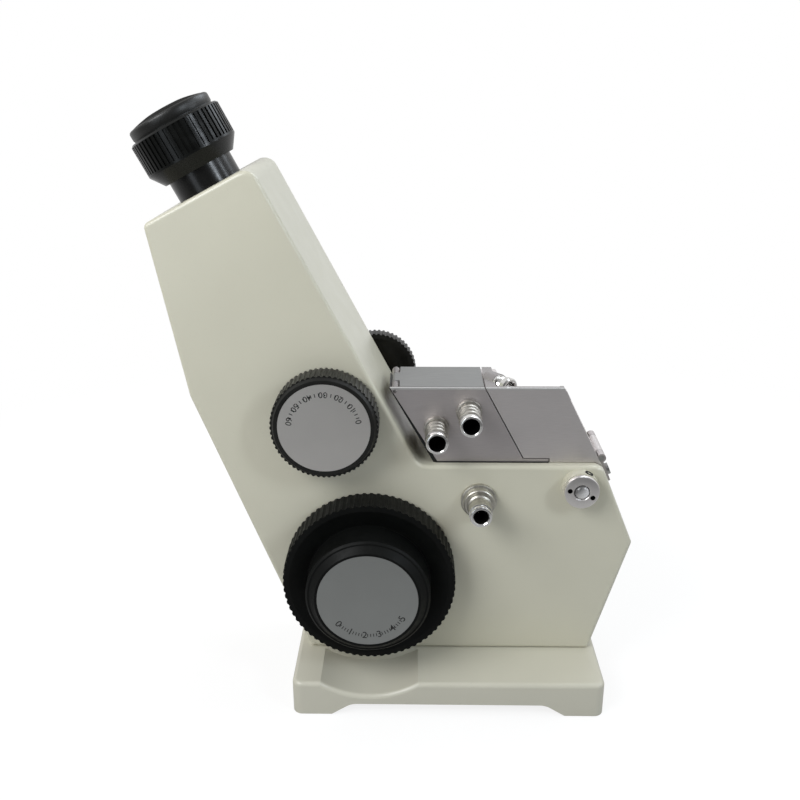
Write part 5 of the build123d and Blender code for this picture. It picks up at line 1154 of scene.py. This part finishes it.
class REFRACTOMETER_OT_studio(bpy.types.Operator):
    """Set up the bench, the surround, the lamps and the camera"""

    bl_idname = "refractometer.studio"
    bl_label = "Set up studio"

    def execute(self, context):
        studio = context.scene.refractometer_studio
        select_only()
        bpy.ops.mesh.primitive_plane_add(size=BENCH_SIZE, location=(0, 0, -BENCH_DROP))
        floor = name_piece("bench_top")
        settle(floor, Matrix.Identity(4))
        floor.data.materials.append(self.bench(studio))
        self.room(context.scene, studio)
        for lamp in LAMPS:
            panel_light(lamp, getattr(studio, lamp.power))
        self.camera(context.scene)
        context.scene.view_settings.view_transform = "Standard"
        return {"FINISHED"}

    def bench(self, studio):
        """Pale bench that keeps a soft shadow near the object and turns to plain white further off."""
        material = bpy.data.materials.new("Bench top")
        material.use_nodes = True
        nodes = Nodes(material.node_tree)
        paint = nodes.tree.nodes["Principled BSDF"]
        paint.inputs["Base Color"].default_value = (*studio.floor_colour, 1)
        paint.inputs["Roughness"].default_value = 0.9
        paint.inputs["Specular IOR Level"].default_value = 0.1
        place = nodes.coordinates("Object")
        reach = nodes.length(place)
        reaches = (SHADOW_NEAR, SHADOW_FAR, "SMOOTHSTEP")
        lift = nodes.between(reach, BENCH_LIFT, 1.0, *reaches)
        depth = nodes.axis(place, "Y")
        mirrored = nodes.between(depth, MIRRORED_FRONT, MIRRORED_BACK, BENCH_FRONT, BENCH_BACK)
        strength = nodes.choose(straight_rays(nodes), mirrored, lift)
        glow = nodes.node("ShaderNodeEmission", Color=WHITE, Strength=strength)
        keep = nodes.between(reach, 1 - studio.shadow_share, 1.0, *reaches)
        share = nodes.maths("MULTIPLY", seen_rays(nodes), keep)
        nodes.surface("Material Output", share, paint.outputs["BSDF"], glow.outputs["Emission"])
        return material

    def room(self, scene, studio):
        """Room light that grows from front to back, mirrored darker in front and seen as white."""
        world = bpy.data.worlds.new("Studio room")
        scene.world = world
        world.use_nodes = True
        nodes = Nodes(world.node_tree)
        depth = nodes.axis(nodes.coordinates("Generated"), "Y")
        light = nodes.between(depth, studio.room_front, studio.room_back, ROOM_FRONT, ROOM_BACK)
        room = nodes.tree.nodes["Background"]
        room.inputs["Color"].default_value = ROOM_TINT
        nodes.feed(room.inputs["Strength"], light)
        mirrored = nodes.between(depth, MIRRORED_FRONT, MIRRORED_BACK, MIRROR_FRONT, MIRROR_BACK)
        strength = nodes.choose(straight_rays(nodes), mirrored, 1.0)
        page = nodes.node("ShaderNodeBackground", Color=WHITE, Strength=strength)
        sides = (room.outputs["Background"], page.outputs["Background"])
        nodes.surface("World Output", seen_rays(nodes), *sides)

    def camera(self, scene):
        select_only()
        bpy.ops.object.camera_add(location=CAMERA_PLACE)
        camera = name_piece("front_camera")
        turn = Matrix((CAMERA_RIGHT, CAMERA_UP, -CAMERA_AHEAD)).transposed()
        camera.rotation_mode = "QUATERNION"
        camera.rotation_quaternion = turn.to_quaternion()
        camera.data.sensor_width = CAMERA_SENSOR
        camera.data.lens = CAMERA_LENS
        camera.data.clip_start = 0.02
        camera.data.clip_end = 20.0
        scene.camera = camera


# ------------------------------------------------------------------ panel and registration
class REFRACTOMETER_PT_panel(bpy.types.Panel):
    """Sizes, colours and steps of the refractometer"""

    bl_idname = "REFRACTOMETER_PT_panel"
    bl_label = "Refractometer"
    bl_space_type = "VIEW_3D"
    bl_region_type = "UI"
    bl_category = "Refractometer"

    def draw(self, context):
        scene = context.scene
        for name, group in GROUPS.items():
            box = self.layout.box()
            for setting in group.__annotations__:
                box.prop(getattr(scene, name), setting)
        for step in STEPS:
            self.layout.operator(step.bl_idname)


GROUPS = {
    "refractometer_finishes": RefractometerFinishes,
    "refractometer_marks": RefractometerMarks,
    "refractometer_fittings": RefractometerFittings,
    "refractometer_studio": RefractometerStudio,
}
STEPS = (
    REFRACTOMETER_OT_studio,
    REFRACTOMETER_OT_enamel,
    REFRACTOMETER_OT_black_parts,
    REFRACTOMETER_OT_metal_parts,
    REFRACTOMETER_OT_optics,
    REFRACTOMETER_OT_eye_cup,
    REFRACTOMETER_OT_hose_tails,
    REFRACTOMETER_OT_thermometer_seat,
    REFRACTOMETER_OT_lamp_window,
    REFRACTOMETER_OT_seat_gap_shadow,
    REFRACTOMETER_OT_dial_marks,
)


def register():
    for name, group in GROUPS.items():
        bpy.utils.register_class(group)
        setattr(bpy.types.Scene, name, bpy.props.PointerProperty(type=group))
    for step in STEPS:
        bpy.utils.register_class(step)
    bpy.utils.register_class(REFRACTOMETER_PT_panel)


def unregister():
    bpy.utils.unregister_class(REFRACTOMETER_PT_panel)
    for step in reversed(STEPS):
        bpy.utils.unregister_class(step)
    for name, group in GROUPS.items():
        delattr(bpy.types.Scene, name)
        bpy.utils.unregister_class(group)


def main():
    register()
    bpy.ops.refractometer.studio()
    bpy.ops.refractometer.enamel()
    bpy.ops.refractometer.black_parts()
    bpy.ops.refractometer.metal_parts()
    bpy.ops.refractometer.optics()
    bpy.ops.refractometer.eye_cup()
    bpy.ops.refractometer.hose_tails()
    bpy.ops.refractometer.thermometer_seat()
    bpy.ops.refractometer.lamp_window()
    bpy.ops.refractometer.seat_seal()
    bpy.ops.refractometer.dial_marks()
    select_only()


if __name__ == "__main__":
    main()
